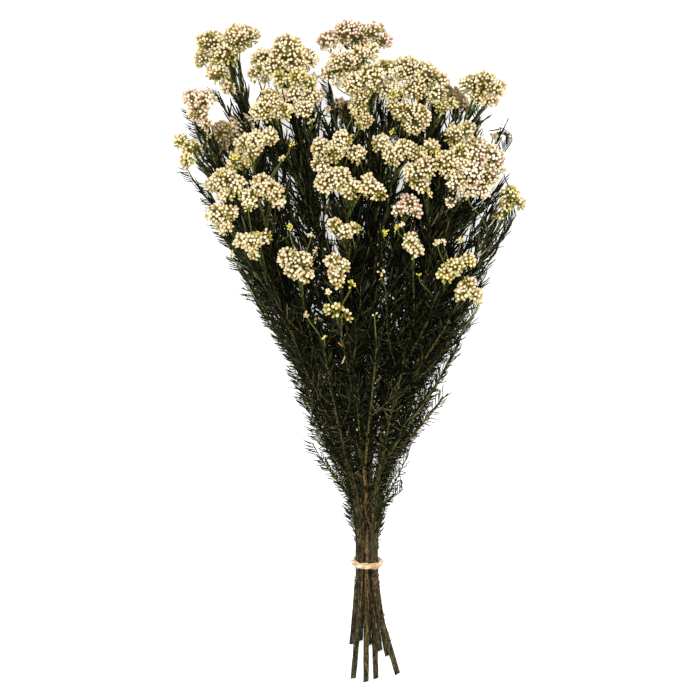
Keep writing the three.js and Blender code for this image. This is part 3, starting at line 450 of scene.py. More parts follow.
def near_pairs(at, owner):
    first, second = np.triu_indices(len(at), 1)
    near = (owner[first] != owner[second]) & (((at[first] - at[second]) ** 2).sum(axis=1) < NEAR**2)
    return first[near], second[near]


def relax(routes, heads):
    starts = np.cumsum([0] + [len(route.points) for route in routes])
    at = np.vstack([route.points for route in routes])
    owner = np.repeat([int(route.stem.name) for route in routes], np.diff(starts))
    own_head = np.repeat([heads.index(r.head) if r.head else -1 for r in routes], np.diff(starts))
    free = np.flatnonzero(~np.concatenate([pinned(route) for route in routes]))
    lobes = np.vstack([head.lobes for head in heads])
    lobe_head = np.repeat(np.arange(len(heads)), [len(head.lobes) for head in heads])
    foreign = own_head[:, None] != lobe_head[None]
    for step in range(PASSES):
        if step % REFRESH == 0:
            a, b = near_pairs(at, owner)
        push = np.zeros_like(at)
        away = at[a] - at[b]
        distance = np.maximum(np.linalg.norm(away, axis=1), 0.01)
        lack = np.maximum(room_at(at[a, 1]) + room_at(at[b, 1]) - distance, 0)
        share = away * (PUSH * lack / distance)[:, None]
        np.add.at(push, a, share)
        np.add.at(push, b, -share)
        away = at[:, None] - lobes[None, :, :3]
        distance = np.maximum(np.linalg.norm(away, axis=2), 0.01)
        lack = np.maximum(lobes[:, 3] + HEAD_ROOM - distance, 0) * foreign
        push += (away * (PUSH * lack / distance)[..., None]).sum(axis=1)
        push[free] += SMOOTHING * ((at[free - 1] + at[free + 1]) / 2 - at[free])
        at[free] += push[free]
        at[free, 2] = np.maximum(at[free, 2], BARE_R)
        for k, route in enumerate(routes):
            if route.parent:
                at[starts[k]] = at[starts[routes.index(route.parent)] + route.fork]
    for k, route in enumerate(routes):
        route.points = at[starts[k]:starts[k + 1]]
        route.measure()


# The route that passes nearest to a place, and the number of its nearest point
def nearest_route(routes, place):
    gaps = [np.linalg.norm(route.points - place, axis=1) for route in routes]
    k = int(np.argmin([gap.min() for gap in gaps]))
    return routes[k], gaps[k].argmin()


# Meshes

class Cloth:
    """Vertices, triangles and vertex colours that become one piece."""

    def __init__(self):
        self.points = []
        self.faces = []
        self.tints = []
        self.count = 0

    def add(self, points, faces, tints):
        points = np.asarray(points, float).reshape(-1, 3)
        self.points.append(points)
        self.faces.append(np.asarray(faces, int).reshape(-1, 3) + self.count)
        self.tints.append(np.broadcast_to(tints, points.shape))
        self.count += len(points)

    # Many copies of one shape, whose points are given for each copy
    def add_copies(self, points, faces, tints):
        firsts = np.arange(len(points)) * points.shape[1]
        self.add(points, faces[None] + firsts[:, None, None], tints.reshape(-1, 3))


def new_object(name, data, at=(0, 0, 0)):
    made = bpy.data.objects.new(name, data)
    made.location = at
    bpy.context.scene.collection.objects.link(made)
    return made


def add_piece(name, cloth, material, slot, *nodes):
    points = (np.vstack(cloth.points) - ORIGIN) * MM
    points[:, 2] = np.maximum(points[:, 2], 0)
    tints = np.hstack([np.vstack(cloth.tints), np.ones((len(points), 1))])
    mesh = bpy.data.meshes.new(name)
    mesh.from_pydata(points, [], np.vstack(cloth.faces), shade_flat=False)
    colour = mesh.color_attributes.new("tint", "FLOAT_COLOR", "POINT")
    colour.data.foreach_set("color", tints.ravel())
    mesh.materials.append(material)
    piece = new_object(name, mesh)
    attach(piece, "root")
    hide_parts(*nodes)


# Triangles between rings of the same number of corners
def band_faces(rings, sides):
    k = np.arange(sides)
    following = (k + 1) % sides
    band = np.stack([
        np.stack([k, following, following + sides], axis=1),
        np.stack([k, following + sides, k + sides], axis=1),
    ]).reshape(-1, 3)
    return (band[None] + (np.arange(rings - 1) * sides)[:, None, None]).reshape(-1, 3)


# The same, with a fan at each end to a point that follows the rings
def tube_faces(rings, sides):
    k = np.arange(sides)
    following = (k + 1) % sides
    top = (rings - 1) * sides
    first = np.stack([following, k, np.full(sides, rings * sides)], axis=1)
    last = np.stack([k + top, following + top, np.full(sides, rings * sides + 1)], axis=1)
    return np.vstack([band_faces(rings, sides), first, last])


def add_rings(cloth, rings, shades, tints):
    ends = np.array([rings[0].mean(axis=0), rings[-1].mean(axis=0)])
    shades = np.vstack([shades.reshape(-1, 3), tints[:1], tints[-1:]])
    cloth.add(np.vstack([rings.reshape(-1, 3), ends]), tube_faces(*rings.shape[:2]), shades)


# Bark is darkened with painted shade in the crevices beside other stems, where shade falls. Its ridges
# are sums of three random numbers, which spread about 1.7 times as wide as one.
CREVICE = 3.0
CREVICE_PAINTED_SHADE = 0.1
RIDGE_SPREAD = 1.7


def painted_crevice_shade(points, others):
    gap = np.min([np.linalg.norm(points - other, axis=-1) for other in others], axis=0)
    return CREVICE_PAINTED_SHADE + (1 - CREVICE_PAINTED_SHADE) * rise(gap, BARE_R, CREVICE)


# A tube of bark. Roughness makes ridges along it, slant tilts its cut end, and others are points
# in the middle of other stems, near which the bark is darkened with painted shade.
def add_tube(cloth, at, across, over, radius, sides, tints, roughness=0.0, slant=0.0, others=None):
    angle = np.arange(sides) * CIRCLE / sides
    ridges = rng.normal(0, roughness, (len(at), sides))
    ridges = (ridges + np.roll(ridges, 1, axis=0) + np.roll(ridges, 2, axis=0)) / RIDGE_SPREAD
    size = radius[:, None] * (1 + ridges)
    rings = at[:, None] + around(across[:, None], over[:, None], angle) * size[..., None]
    rings[0] += unit(at[1] - at[0]) * (np.cos(angle) * slant)[:, None]
    shades = np.broadcast_to(tints[:, None], rings.shape)
    # Painted shade: darker bark in the crevices beside the other stems
    if others is not None:
        shades = shades * painted_crevice_shade(rings, others)[..., None]
    add_rings(cloth, rings, shades, tints)


# Needles, all at once: a curved three-sided blade with three rings and a tip
STATIONS = np.array([0.0, 0.35, 0.74, 1.0])
BLADE_WIDTHS = np.array([0.6, 1.0, 0.9])
BLADE_FADE = np.array([0.7] * 3 + [0.9] * 3 + [1.1] * 3 + [1.4])
BLADE_FACES = np.vstack([band_faces(3, 3), [[6, 7, 9], [7, 8, 9], [8, 6, 9]]])
BLADE_THICK = 0.55
BLADE_SWAY = 0.12


def add_needles(cloth, root, out, along, length, lean, bend, width, tints):
    count = len(root)
    side = np.cross(along, out)
    sway = rng.normal(0, BLADE_SWAY, count)[:, None]
    angle = lean[:, None] + bend[:, None] * STATIONS
    way = around(along[:, None], out[:, None], angle) + side[:, None] * (sway * STATIONS)[..., None]
    steps = np.diff(STATIONS)[None, :, None] * (way[:, :-1] + way[:, 1:]) / 2
    centre = np.concatenate([np.zeros((count, 1, 3)), np.cumsum(steps, axis=1)], axis=1)
    centre = root[:, None] + centre * length[:, None, None]
    half = (width[:, None] * BLADE_WIDTHS / 2)[..., None]
    wide = side[:, None] * half
    thick = unit(np.cross(way, side[:, None]))[:, :3] * half * BLADE_THICK
    corners = [centre[:, :3] + wide - thick, centre[:, :3] - wide - thick, centre[:, :3] + thick]
    rings = np.stack(corners, axis=2).reshape(count, 9, 3)
    points = np.concatenate([rings, centre[:, 3:]], axis=1)
    points[..., 2] = np.maximum(points[..., 2], FLOOR_GAP)
    cloth.add_copies(points, BLADE_FACES, tints[:, None] * BLADE_FADE[:, None])


# Needles by the height y: their length, how far apart they stand, how far they lean out and
# how bright they are
NEEDLE_Y = [-192, -60, 60, 190]
NEEDLE_LONG = [6.5, 9.8, 13.5, 17.0]
NEEDLE_APART = [1.15, 1.22, 1.75, 3.1]
NEEDLE_LEAN = [60, 76, 66, 46]
NEEDLE_GAIN = [1.0, 1.0, 1.15, 1.7]
NEEDLE_BEND = -34
NEEDLE_WIDE = 1.36

# How much single needles and whole twigs vary
TURN_SPREAD = 0.3
LEAN_SPREAD = 11
BEND_SPREAD = 20
LONG_RANGE = (0.72, 1.12)
WIDE_RANGE = (0.75, 1.1)
GAIN_RANGE = (0.6, 1.5)
NEEDLE_SHADES = (0.9, 2.2)
STRAW_SHARE = 0.010
FRESH_SHARE = 0.0015

# Toward its tip, a twig's needles lie along it like a brush. Higher up in the bunch some twigs
# are sleek, and needles at the outside hug their twig.
BRUSH = 40
BRUSH_LEAN = 0.5
BRUSH_BEND = 0.6
BRUSH_LONG = 0.3
SLEEK = 0.6
SLEEK_ZONE = (10, 100)
HUG = 0.5
HUG_ZONE = (-70, 80)
ROOT_DEPTH = 0.7

# Inside the bunch, needles are longer and wider. Needles and wood are darker there as painted shade, which
# for the needles also stands for the darker tone of dry inner needles.
INNER = 26
INNER_PAINTED_SHADE = 0.62
INNER_WIDTH = 0.55
INNER_LENGTH = 0.2
INNER_WOOD_PAINTED_SHADE = 0.45


# How far points lie inside the leafy part's left, right and top sides and over the floor
def outline_gaps(points):
    x, y, z = points.T
    left, right, top = [np.interp(y, OUTLINE_Y, row) for row in OUTLINE]
    return np.array([x - left, right - x, top - z, z])


# 0 at the outside of the leafy part, 1 from INNER deep
def depth_inside(points):
    return rise(outline_gaps(points).min(axis=0), 0, INNER)


# Mostly near black, some green, a few straw coloured or fresh
def needle_tints(count):
    shade = rng.beta(*NEEDLE_SHADES, count) * 2
    low = mix(NEEDLE_DARK, NEEDLE_MID, np.minimum(shade, 1))
    tints = mix(low, NEEDLE_PALE, rise(shade, 1, 1))
    odd = rng.uniform(0, 1, count)
    tints[odd < STRAW_SHARE] = STRAW
    tints[odd > 1 - FRESH_SHARE] = FRESH
    return tints


# Needles in a spiral round one route
def cover_with_needles(cloth, route, start, stop):
    pitch = np.interp(route.place((start + stop) / 2)[1], NEEDLE_Y, NEEDLE_APART)
    distance = np.arange(start, stop, pitch)
    distance = distance + rng.uniform(-0.5, 0.5, len(distance)) * pitch
    count = len(distance)
    if count < 2:
        return
    at, along, across, over = route.frames(distance)
    y = at[:, 1]
    turn = rng.uniform(0, ANY_TURN) + np.arange(count) * GOLDEN_TURN + rng.normal(0, TURN_SPREAD, count)
    out = around(across, over, turn)
    root = at + out * (route.radius(distance) * ROOT_DEPTH)[:, None]
    brush = rise(distance, route.length - BRUSH, BRUSH)
    sleek = SLEEK * rng.uniform(0, 1) * rise(y, *SLEEK_ZONE)
    inner = depth_inside(at)
    hug = HUG * (1 - inner) * rise(y, *HUG_ZONE)
    lean = np.interp(y, NEEDLE_Y, NEEDLE_LEAN) * (1 - BRUSH_LEAN * brush) * (1 - sleek) * (1 - hug)
    lean = np.radians(lean + rng.normal(0, LEAN_SPREAD, count))
    bend = np.radians(rng.normal(NEEDLE_BEND, BEND_SPREAD, count)) * (1 - BRUSH_BEND * brush)
    length = np.interp(y, NEEDLE_Y, NEEDLE_LONG) * rng.uniform(*LONG_RANGE, count)
    length *= 1 + BRUSH_LONG * brush + INNER_LENGTH * inner
    width = NEEDLE_WIDE * rng.uniform(*WIDE_RANGE, count) * (1 + INNER_WIDTH * inner)
    # Painted shade: needles deep inside the bunch are darkened
    gain = np.interp(y, NEEDLE_Y, NEEDLE_GAIN) * (1 - INNER_PAINTED_SHADE * inner) * rng.uniform(*GAIN_RANGE)
    add_needles(cloth, root, out, along, length, lean, bend, width, needle_tints(count) * gain[:, None])


# Needles of one kind, by the ranges of their length and width and by the middle and the spread
# of their lean and bend in degrees
COMB_KIND = [(10, 14), (1.3, 1.6), (58, 6), (-30, 8)]
DRY_KIND = [(6, 12), (0.9, 1.3), (24, 12), (0, 25)]


def add_needle_kind(cloth, root, out, along, kind):
    long, wide, lean, bend = kind
    count = len(root)
    add_needles(cloth, root, out, along, rng.uniform(*long, count), np.radians(rng.normal(*lean, count)),
                np.radians(rng.normal(*bend, count)), rng.uniform(*wide, count), needle_tints(count))


# At the end of a further twig the needles stand on one side, like a comb, and go on along a
# curl. The comb begins COMB_BELOW before the twig's tip, and the other needles end COMB_BARE
# before it.
COMB_APART = 1.7
COMB_BELOW = 12
COMB_BARE = 16


def add_comb(cloth, route):
    distance = np.arange(route.comb_from - COMB_BELOW, route.length, COMB_APART)
    at, along, _, _ = route.frames(distance)
    add_needle_kind(cloth, at, unit(np.cross(vec(0, 0, 1), along)), along, COMB_KIND)


# Leafy side shoots, which fill the bunch between the branches
SHOOT_SPACING = 24
SHOOT_LONG = (45, 95)
SHOOT_SPREAD = (17, 27)
SHOOT_PULLS = (0.35, 0.35)
SHOOT_STEP = 5
SHOOT_LEAVING = (0.75, 0.66)
SHOOT_FLARE = 0.1
TWIG_RISE = vec(0, 0.3, 0)
SHOOT_ROOM = 3
SHORTEST_SHOOT = 6


def inside_outline(points):
    gaps = outline_gaps(points)
    return (gaps[:3] > 0).all(axis=0) & (points[:, 2] > SHOOT_FLOOR) & (points[:, 1] < HIGHEST_SHOOT)


def lobe_gaps(points, lobes):
    return np.linalg.norm(points[:, None] - lobes[None, :, :3], axis=2) - lobes[:, 3]


def clear_length(points, lobes):
    good = inside_outline(points) & (lobe_gaps(points, lobes).min(axis=1) > SHOOT_ROOM)
    good[:3] = True
    return len(points) if good.all() else int(np.argmin(good))


def new_shoot(stem, points, parent):
    shoot = Shoot(stem, points, None, parent)
    shoot.measure()
    return shoot


def twigs_of(stem, main):
    twigs = []
    for row in TWIGS[stem.name]:
        fork = np.argmax(main.points[:, 1] > row[0])
        at, tip = main.points[fork], vec(*row[1:])
        onward = unit(main.points[fork + 1] - at)
        way = unit(tip - at)
        points = bezier(at, unit(onward + way), tip, unit(way + TWIG_RISE), BRANCH_PULLS)
        twig = new_shoot(stem, np.vstack([points, CURL]) if row == CURLED_TWIG else points, main)
        twig.comb_from = twig.reach[len(points) - 1]
        twigs.append(twig)
    return twigs


def side_shoots(route, lobes, start, stop):
    shoots = []
    turn = rng.uniform(0, ANY_TURN)
    for distance in np.arange(start, stop, SHOOT_SPACING):
        at, along, across, over = route.frames(distance)
        turn += GOLDEN_TURN
        out = around(across, over, turn)
        length = rng.uniform(*SHOOT_LONG)
        spread = math.radians(rng.uniform(*SHOOT_SPREAD))
        end = at + (along * math.cos(spread) + out * math.sin(spread)) * length
        leaving = unit(along * SHOOT_LEAVING[0] + out * SHOOT_LEAVING[1])
        points = bezier(at, leaving, end, unit(along + out * SHOOT_FLARE), SHOOT_PULLS, SHOOT_STEP)
        points = points[:clear_length(points, lobes)]
        if len(points) >= SHORTEST_SHOOT:
            shoots.append(new_shoot(route.stem, points, route))
    return shoots


# Wood
BARK_SIDES = 10
BRANCH_SIDES = 5
BARK_STEP = 3
BRANCH_STEP = 4.5
BARK_ROUGHNESS = 0.045
BARK_SWELL = 1.06
BARK_SPREAD = 0.16
BARK_FLOOR = 0.9
MOST_MOSS = 0.8
MAIN_GREEN = 0.3
BRANCH_GREEN = 0.8
GREEN_ABOVE = 0.5
MOSS_ZONE = (-225, -30)
GREEN_ZONE = (20, 120)
LEAFY_ZONE = (LEAFY_FROM_Y - 10, 90)
SWELL_ZONE = (LEAFY_FROM_Y, -20)
BRANCH_LEAFY_ZONE = (0, 30)
CUT_SLANT = 0.7
CUT_OVERHANG = 1.6
CUT_WOOD = (0.050, 0.040, 0.026)
CREVICE_STEPS = np.arange(0, 230, 2.5)


# A smooth line through a route's points
def smooth_line(route, step):
    p = np.vstack([2 * route.points[0] - route.points[1], route.points,
                   2 * route.points[-1] - route.points[-2]])
    distance = np.linspace(0, route.length, max(4, int(route.length / step)))
    k = np.clip(np.searchsorted(route.reach, distance, side="right") - 1, 0, len(route.points) - 2)
    t = ((distance - route.reach[k]) / (route.reach[k + 1] - route.reach[k]))[:, None]
    a, b, c, d = p[k], p[k + 1], p[k + 2], p[k + 3]
    line = b + 0.5 * t * (c - a + t * (2 * a - 5 * b + 4 * c - d + t * (3 * (b - c) + d - a)))
    return distance, line


def frames_of(line):
    along = unit(np.gradient(line, axis=0))
    return along, *sides_of(along)


def bark_tint(route, distance, y):
    bark = np.array(BARKS[STEM_BARK[int(route.stem.name) - 1]])
    bark = mix(bark, BARKS[2], rise(y, *MOSS_ZONE) * rng.uniform(0, MOST_MOSS))
    green = rng.uniform(0, MAIN_GREEN if route.main else BRANCH_GREEN)
    green = green + GREEN_ABOVE * rise(y, *GREEN_ZONE)
    leafy = mix(mix(BROWN, OLIVE, rng.uniform(0, 1)), YOUNG, np.minimum(green, 1))
    share = rise(y, *LEAFY_ZONE)
    if not route.main:
        share = np.maximum(share, rise(distance, *BRANCH_LEAFY_ZONE))
    return mix(bark, leafy, share) * rng.normal(1, BARK_SPREAD, len(share))[:, None]


def add_bark(cloth, route, mains):
    distance, line = smooth_line(route, BARK_STEP if route.main else BRANCH_STEP)
    along, across, over = frames_of(line)
    sides = BARK_SIDES if route.main else BRANCH_SIDES
    size = route.radius(distance)
    line[:, 2] = np.maximum(line[:, 2], size * BARK_FLOOR)
    # Painted shade: wood deep inside the bunch is darkened
    tints = bark_tint(route, distance, line[:, 1]) * (1 - INNER_WOOD_PAINTED_SHADE * depth_inside(line)[:, None])
    slant = 0.0
    others = None
    if route.main:
        slant = CUT_SLANT
        tints[0] = CUT_WOOD
        line[0] -= along[0] * CUT_OVERHANG
        size *= 1 + (BARK_SWELL - 1) * rise(line[:, 1], *SWELL_ZONE)
        # Points in the other stems, for the painted shade in the crevices
        others = np.vstack([other.place(CREVICE_STEPS) for other in mains if other is not route])
    add_tube(cloth, line, across, over, size, sides, tints, BARK_ROUGHNESS, slant, others)


# Short stubs of fallen leaves on the bare stems, more of them above the tie
STUBS = 90
STUB_PLACES = (2.2, 1.1)
STUB_SHADES = (0.8, 3)
STUB_FRESH = 0.04
STUB_DEPTH = 0.8
STUB_LONG = (2, 5.5)
STUB_LEAN = (0.35, 0.9)
STUB_BEND = 0.4
STUB_WIDE = (0.9, 1.6)
TIE_HALF = 7


def add_stubs(cloth, route):
    distance = route.leafy_from * rng.beta(*STUB_PLACES, STUBS)
    at, along, across, over = route.frames(distance)
    clear = abs(at[:, 1] - TIE[1]) > TIE_HALF
    out = around(across, over, rng.uniform(0, ANY_TURN, STUBS))
    root = at + out * (BARE_R * STUB_DEPTH)
    tints = mix(BARKS[1], YOUNG, rng.beta(*STUB_SHADES, STUBS))
    tints[rng.uniform(0, 1, STUBS) < STUB_FRESH] = FRESH
    length = rng.uniform(*STUB_LONG, STUBS)
    lean = rng.uniform(*STUB_LEAN, STUBS)
    bend = rng.normal(0, STUB_BEND, STUBS)
    width = rng.uniform(*STUB_WIDE, STUBS)
    add_needles(cloth, *[part[clear] for part in (root, out, along, length, lean, bend, width, tints)])


# Thin dry stalks and strips of bark that lie along the bare stems
RUNNERS = 9
RUNNER_SIDES = 4
RUNNER = (0.16, 0.10, 0.045)
RUNNER_R = (0.3, 0.75)
RUNNER_LONG = (30, 110)
RUNNER_STARTS = 0.85
RUNNER_PAST = 30
RUNNER_STEP = 5
RUNNER_TURNS = 0.08
RUNNER_GAP = 0.1
RUNNER_LIFT = 1.1
RUNNER_FLOOR = 0.8
RUNNER_TAPER = 0.4
RUNNER_SHADES = (0.8, 1.6)
RUNNER_YOUNG = (0.7, 2)
RUNNER_ROUGHNESS = 0.1


def add_runners(cloth, route):
    for _ in range(RUNNERS):
        start = rng.uniform(0, route.leafy_from * RUNNER_STARTS)
        stop = min(start + rng.uniform(*RUNNER_LONG), route.leafy_from + RUNNER_PAST)
        distance = np.linspace(start, stop, max(5, int((stop - start) / RUNNER_STEP)))
        at, along, across, over = route.frames(distance)
        turn = rng.uniform(0, ANY_TURN) + np.cumsum(rng.normal(0, RUNNER_TURNS, len(distance)))
        out = around(across, over, turn)
        share = np.linspace(0, 1, len(distance))
        line = at + out * (BARE_R + RUNNER_GAP + RUNNER_LIFT * share**3)[:, None]
        line[:, 2] = np.maximum(line[:, 2], RUNNER_FLOOR)
        tint = mix(mix(BARKS[1], RUNNER, rng.beta(*RUNNER_SHADES)), YOUNG, rng.beta(*RUNNER_YOUNG))
        radius = rng.uniform(*RUNNER_R) * (1 - RUNNER_TAPER * share)
        add_tube(cloth, line, np.cross(along, out), out, radius, RUNNER_SIDES,
                 np.repeat(tint[None], len(distance), axis=0), RUNNER_ROUGHNESS)


# Sparse dry needles between the tie and the leafy part
DRY_NEEDLES = 75
DRY_FROM_Y = TIE[1] + 12


def add_dry_needles(cloth, route):
    low = np.interp(DRY_FROM_Y, route.points[:, 1], route.reach)
    distance = low + (route.leafy_from - low) * np.sqrt(rng.uniform(0, 1, DRY_NEEDLES))
    at, along, across, over = route.frames(np.sort(distance))
    out = around(across, over, rng.uniform(0, ANY_TURN, DRY_NEEDLES))
    add_needle_kind(cloth, at + out * BARE_R * ROOT_DEPTH, out, along, DRY_KIND)


# Flower heads. A bud is rings [height, radius] between two ends, and a heart is the dark
# tangle of stalks inside a lobe.
BUD_RINGS = [[-1.15, 0.92], [0.35, 1.5], [1.4, 0.98]]
UNDER_RINGS = [[-0.6, 1.15], [0.8, 1.2]]
HEART_RINGS = [[-0.75, 0.6], [-0.3, 0.92], [0.25, 0.95], [0.7, 0.66]]
BUD_ENDS = (-1.9, 1.95)
BUD_BRACTS = 0.05
BUD_SIDES = 6
UNDER_SIDES = 5
HEART_SIDES = 8
BUD_LEAST = [0.88, 0.88, 0.85]
BUD_MOST = [1.1, 1.1, 1.18]
SLIM = vec(-0.25, -0.25, 0.3)


def bud_template(rings, sides, ends=BUD_ENDS):
    points = []
    for k, (height, radius) in enumerate(rings):
        angle = (np.arange(sides) + 0.5 * (k % 2)) * CIRCLE / sides
        size = radius * (1 + BUD_BRACTS * (-1.0) ** (np.arange(sides) + k // 2))
        points.append(np.stack([np.cos(angle) * size, np.sin(angle) * size,
                                np.full(sides, height)], axis=1))
    points = np.vstack([*points, [[0, 0, ends[0]], [0, 0, ends[1]]]])
    return points, tube_faces(len(rings), sides)


BUD = bud_template(BUD_RINGS, BUD_SIDES)
UNDER_BUD = bud_template(UNDER_RINGS, UNDER_SIDES)
HEART_SHAPE = bud_template(HEART_RINGS, HEART_SIDES, (-1, 1))

# The buds of a lobe: how far apart they stand, the small clusters that they form and how they vary
BUD_SIZE = 1.01
BUD_PITCH = 2.55
BUD_PACKING = 0.87
BUD_SPACING = 2.22
BUD_FLOOR = 1.6
BUD_STRAY = 0.09
BUD_UNEVEN = 0.4
BUD_TILT = 0.18
BUD_VARIES = 0.14
BUD_SIZES = (0.7, 1.3)
YOUNG_SMALLER = 0.2
WAIST_ZONE = (0, 0.4)
TIP_ZONE = (0.5, 0.45)
BIG_BUDS_Y = [70, 200]
BIG_BUDS = [1.17, 1.0]
CLUSTER_PITCH = 8.0
CLUSTER_HALF = 0.6
FEWEST_CLUSTERS = 5
CLUSTER_STEP = 20
CLUSTER_DEPTH = 2.0
CLUSTER_SPREAD = 1.1
HUB_SIDE = 0.6
HUB_SHARE = 0.55
HEART_INSIDE = 4.0
HEART_SLIM = 0.9
HEART_AWAY = 0.15
HEART_SIZES = (0.75, 1.12)
HEART_SHADES = (0.4, 1.6)
BLEND = 0.65
OTHERS_WITHIN = 60
OWN_DEPTH = 0.3
OTHERS_DEPTH = 0.4
AXIS_SPAN = 15

# Unripe clusters, the buds further in, darkened with painted shade as they lie under the others, and
# the buds that are missing among young ones and toward the stem
UNRIPE = 0.11
UNRIPE_SINK = 1.8
UNRIPE_YOUTH = 0.9
UNDER_SINK = 2.8
UNDER_SPACING = 2.3
UNDER_SHARE = 0.3
UNDER_PAINTED_SHADE = 0.6
BARE_FROM = 0.5
YOUNG_BARE = 0.35
FAN_BELOW = -0.3
FAN_SHARE = 0.55

# How a bud's age depends on the way to the stem and on the height of its face
YOUTH_BASE = 0.04
YOUTH_AXIS = 0.75
YOUTH_HEIGHT = 0.22

# The spread of the buds' age and warmth from cluster to cluster and from bud to bud, the ranges
# of their brightness, and the colours of waist and foot
YOUTH_SPREAD = (0.24, 0.14)
WARMTH_SPREAD = (0.22, 0.3)
SHADES = [(0.82, 1.12), (0.9, 1.1)]
YOUNG_TINT = 0.85
PALEST = 0.96
YOUNG_FOOT = 0.34
FOOT_SHADES = (0.4, 0.9)
FOOT_IN_WAIST = 0.25


def even_ways(count):
    k = np.arange(count)
    height = 1 - (2 * k + 1) / count
    level = np.sqrt(1 - height * height)
    turn = k * GOLDEN_TURN
    return np.stack([level * np.cos(turn), level * np.sin(turn), height], axis=1)


def random_turn():
    q, r = np.linalg.qr(rng.normal(size=(3, 3)))
    return q * np.sign(np.diag(r))


# The hub of each lobe, where its stalks part: part of the way from the socket
def hubs_of(head, socket):
    hubs = socket + (head.lobes[:, :3] - socket) * HUB_SHARE
    hubs[-1] = socket
    return hubs


# Places, outward ways and clusters of the buds on one lobe
def buds_on_lobe(lobe, hub, scale):
    centre, r = lobe[:3], lobe[3]
    area = 4 * math.pi * r * r
    count = int(area / ((BUD_PITCH * scale) ** 2 * BUD_PACKING))
    way = unit(even_ways(count) @ random_turn().T + rng.normal(0, BUD_STRAY, (count, 3)))
    to_hub = hub - centre
    if np.linalg.norm(to_hub) > 1:
        way = way[way @ unit(to_hub) < HUB_SIDE]
    tops = even_ways(max(FEWEST_CLUSTERS, int(area / CLUSTER_PITCH**2))) @ random_turn().T
    nearness = way @ tops.T
    cluster = nearness.argmax(axis=1)
    from_top = np.arccos(np.clip(nearness.max(axis=1), -1, 1)) * r
    sunk = CLUSTER_DEPTH * (from_top / (CLUSTER_PITCH * CLUSTER_HALF)) ** 2
    raised = rng.uniform(-CLUSTER_SPREAD, CLUSTER_SPREAD, len(tops))[cluster]
    reach = r - sunk + raised + rng.normal(0, BUD_UNEVEN, len(way))
    return centre + way * reach[:, None], way, cluster


def outside_lobes(points, lobes, depth):
    return lobe_gaps(points, lobes).min(axis=1, initial=math.inf) > -depth


# How far the places on one lobe are lifted to fill the creases beside the other lobes
def crease_lift(points, lobes, radius):
    reach = BLEND * radius
    near = 1 - rise(lobe_gaps(points, lobes), 0, reach)
    return (reach / 4 * near**2).sum(axis=1, initial=0).clip(0, reach / 3)


# The first of the points that aren't near an earlier one
def well_spaced(points, least, taken=()):
    chosen = list(taken)
    kept = []
    for k, point in enumerate(points):
        if not chosen or ((np.array(chosen) - point) ** 2).sum(axis=1).min() > least**2:
            kept.append(k)
            chosen.append(point)
    return kept


def add_buds(cloth, template, at, way, size, slim, tints):
    shape, shape_faces = template
    count = len(at)
    across = unit(np.cross(way, rng.normal(size=(count, 3))))
    axes = np.stack([across, np.cross(way, across), way], axis=1)
    stretch = rng.uniform(BUD_LEAST, BUD_MOST, (count, 3)) * (1 + slim[:, None] * SLIM)
    points = at[:, None] + (shape[None] * (size[:, None] * stretch)[:, None]) @ axes
    points[..., 2] = np.maximum(points[..., 2], FLOOR_GAP)
    # Each bud pales from foot to tip: partly its own colour, a greenish tan base under cream bracts, and
    # partly painted light, a painted highlight on the tip and painted shade on the waist and foot
    height = rise(shape[:, 2], BUD_ENDS[0], BUD_ENDS[1] - BUD_ENDS[0])
    foot, waist, tip = [tint[:, None] for tint in tints]
    colours = mix(foot, waist, rise(height, *WAIST_ZONE)[None])
    colours = colours + (tip - colours) * rise(height, *TIP_ZONE)[None, :, None]
    cloth.add_copies(points, shape_faces, colours)


def add_heart(cloth, lobe, hub):
    shape, faces = HEART_SHAPE
    away = lobe[:3] - hub
    radius = (lobe[3] - HEART_INSIDE) * (HEART_SLIM if np.linalg.norm(away) > 1 else 1)
    centre = lobe[:3] + unit(away + vec(0, 0, 0.01)) * radius * HEART_AWAY
    points = centre + shape * radius * rng.uniform(*HEART_SIZES, (len(shape), 1))
    points[:, 2] = np.maximum(points[:, 2], FLOOR_GAP)
    cloth.add(points, faces, np.array(HEART) * rng.uniform(*HEART_SHADES, (len(shape), 1)))


# How young each bud is: those toward the stem are the youngest
def youth_of(kind, way, cluster, axis):
    mood = rng.normal(0, YOUTH_SPREAD[0], cluster.max() + 1)[cluster]
    low = BUDS[kind][3] + YOUTH_BASE - YOUTH_AXIS * way @ axis - YOUTH_HEIGHT * way[:, 2]
    return np.clip(low + mood + rng.normal(0, YOUTH_SPREAD[1], len(way)), 0, 1)


# The colours of each bud's foot, waist and tip: partly the bud's own colour, and partly a painted highlight
# in the pale tip and painted shade in the darker waist and foot
def bud_tints(kind, youth, cluster, warmer=0.0):
    pale, warm, young, _, warmth = BUDS[kind]
    count = len(youth)
    warmth = warmth + warmer + rng.normal(0, WARMTH_SPREAD[0], cluster.max() + 1)[cluster]
    warmth = warmth + rng.normal(0, WARMTH_SPREAD[1], count)
    tip = mix(mix(pale, warm, np.clip(warmth, 0, 1)), young, youth * YOUNG_TINT)
    shade = rng.uniform(*SHADES[0], cluster.max() + 1)[cluster] * rng.uniform(*SHADES[1], count)
    tip = np.minimum(tip * shade[:, None], PALEST)
    foot = mix(HUSK, np.array(young) * YOUNG_FOOT, youth) * rng.uniform(*FOOT_SHADES, count)[:, None]
    waist = mix((tip + warm) * WAIST, foot, FOOT_IN_WAIST * (1 + youth))
    return foot, waist, tip


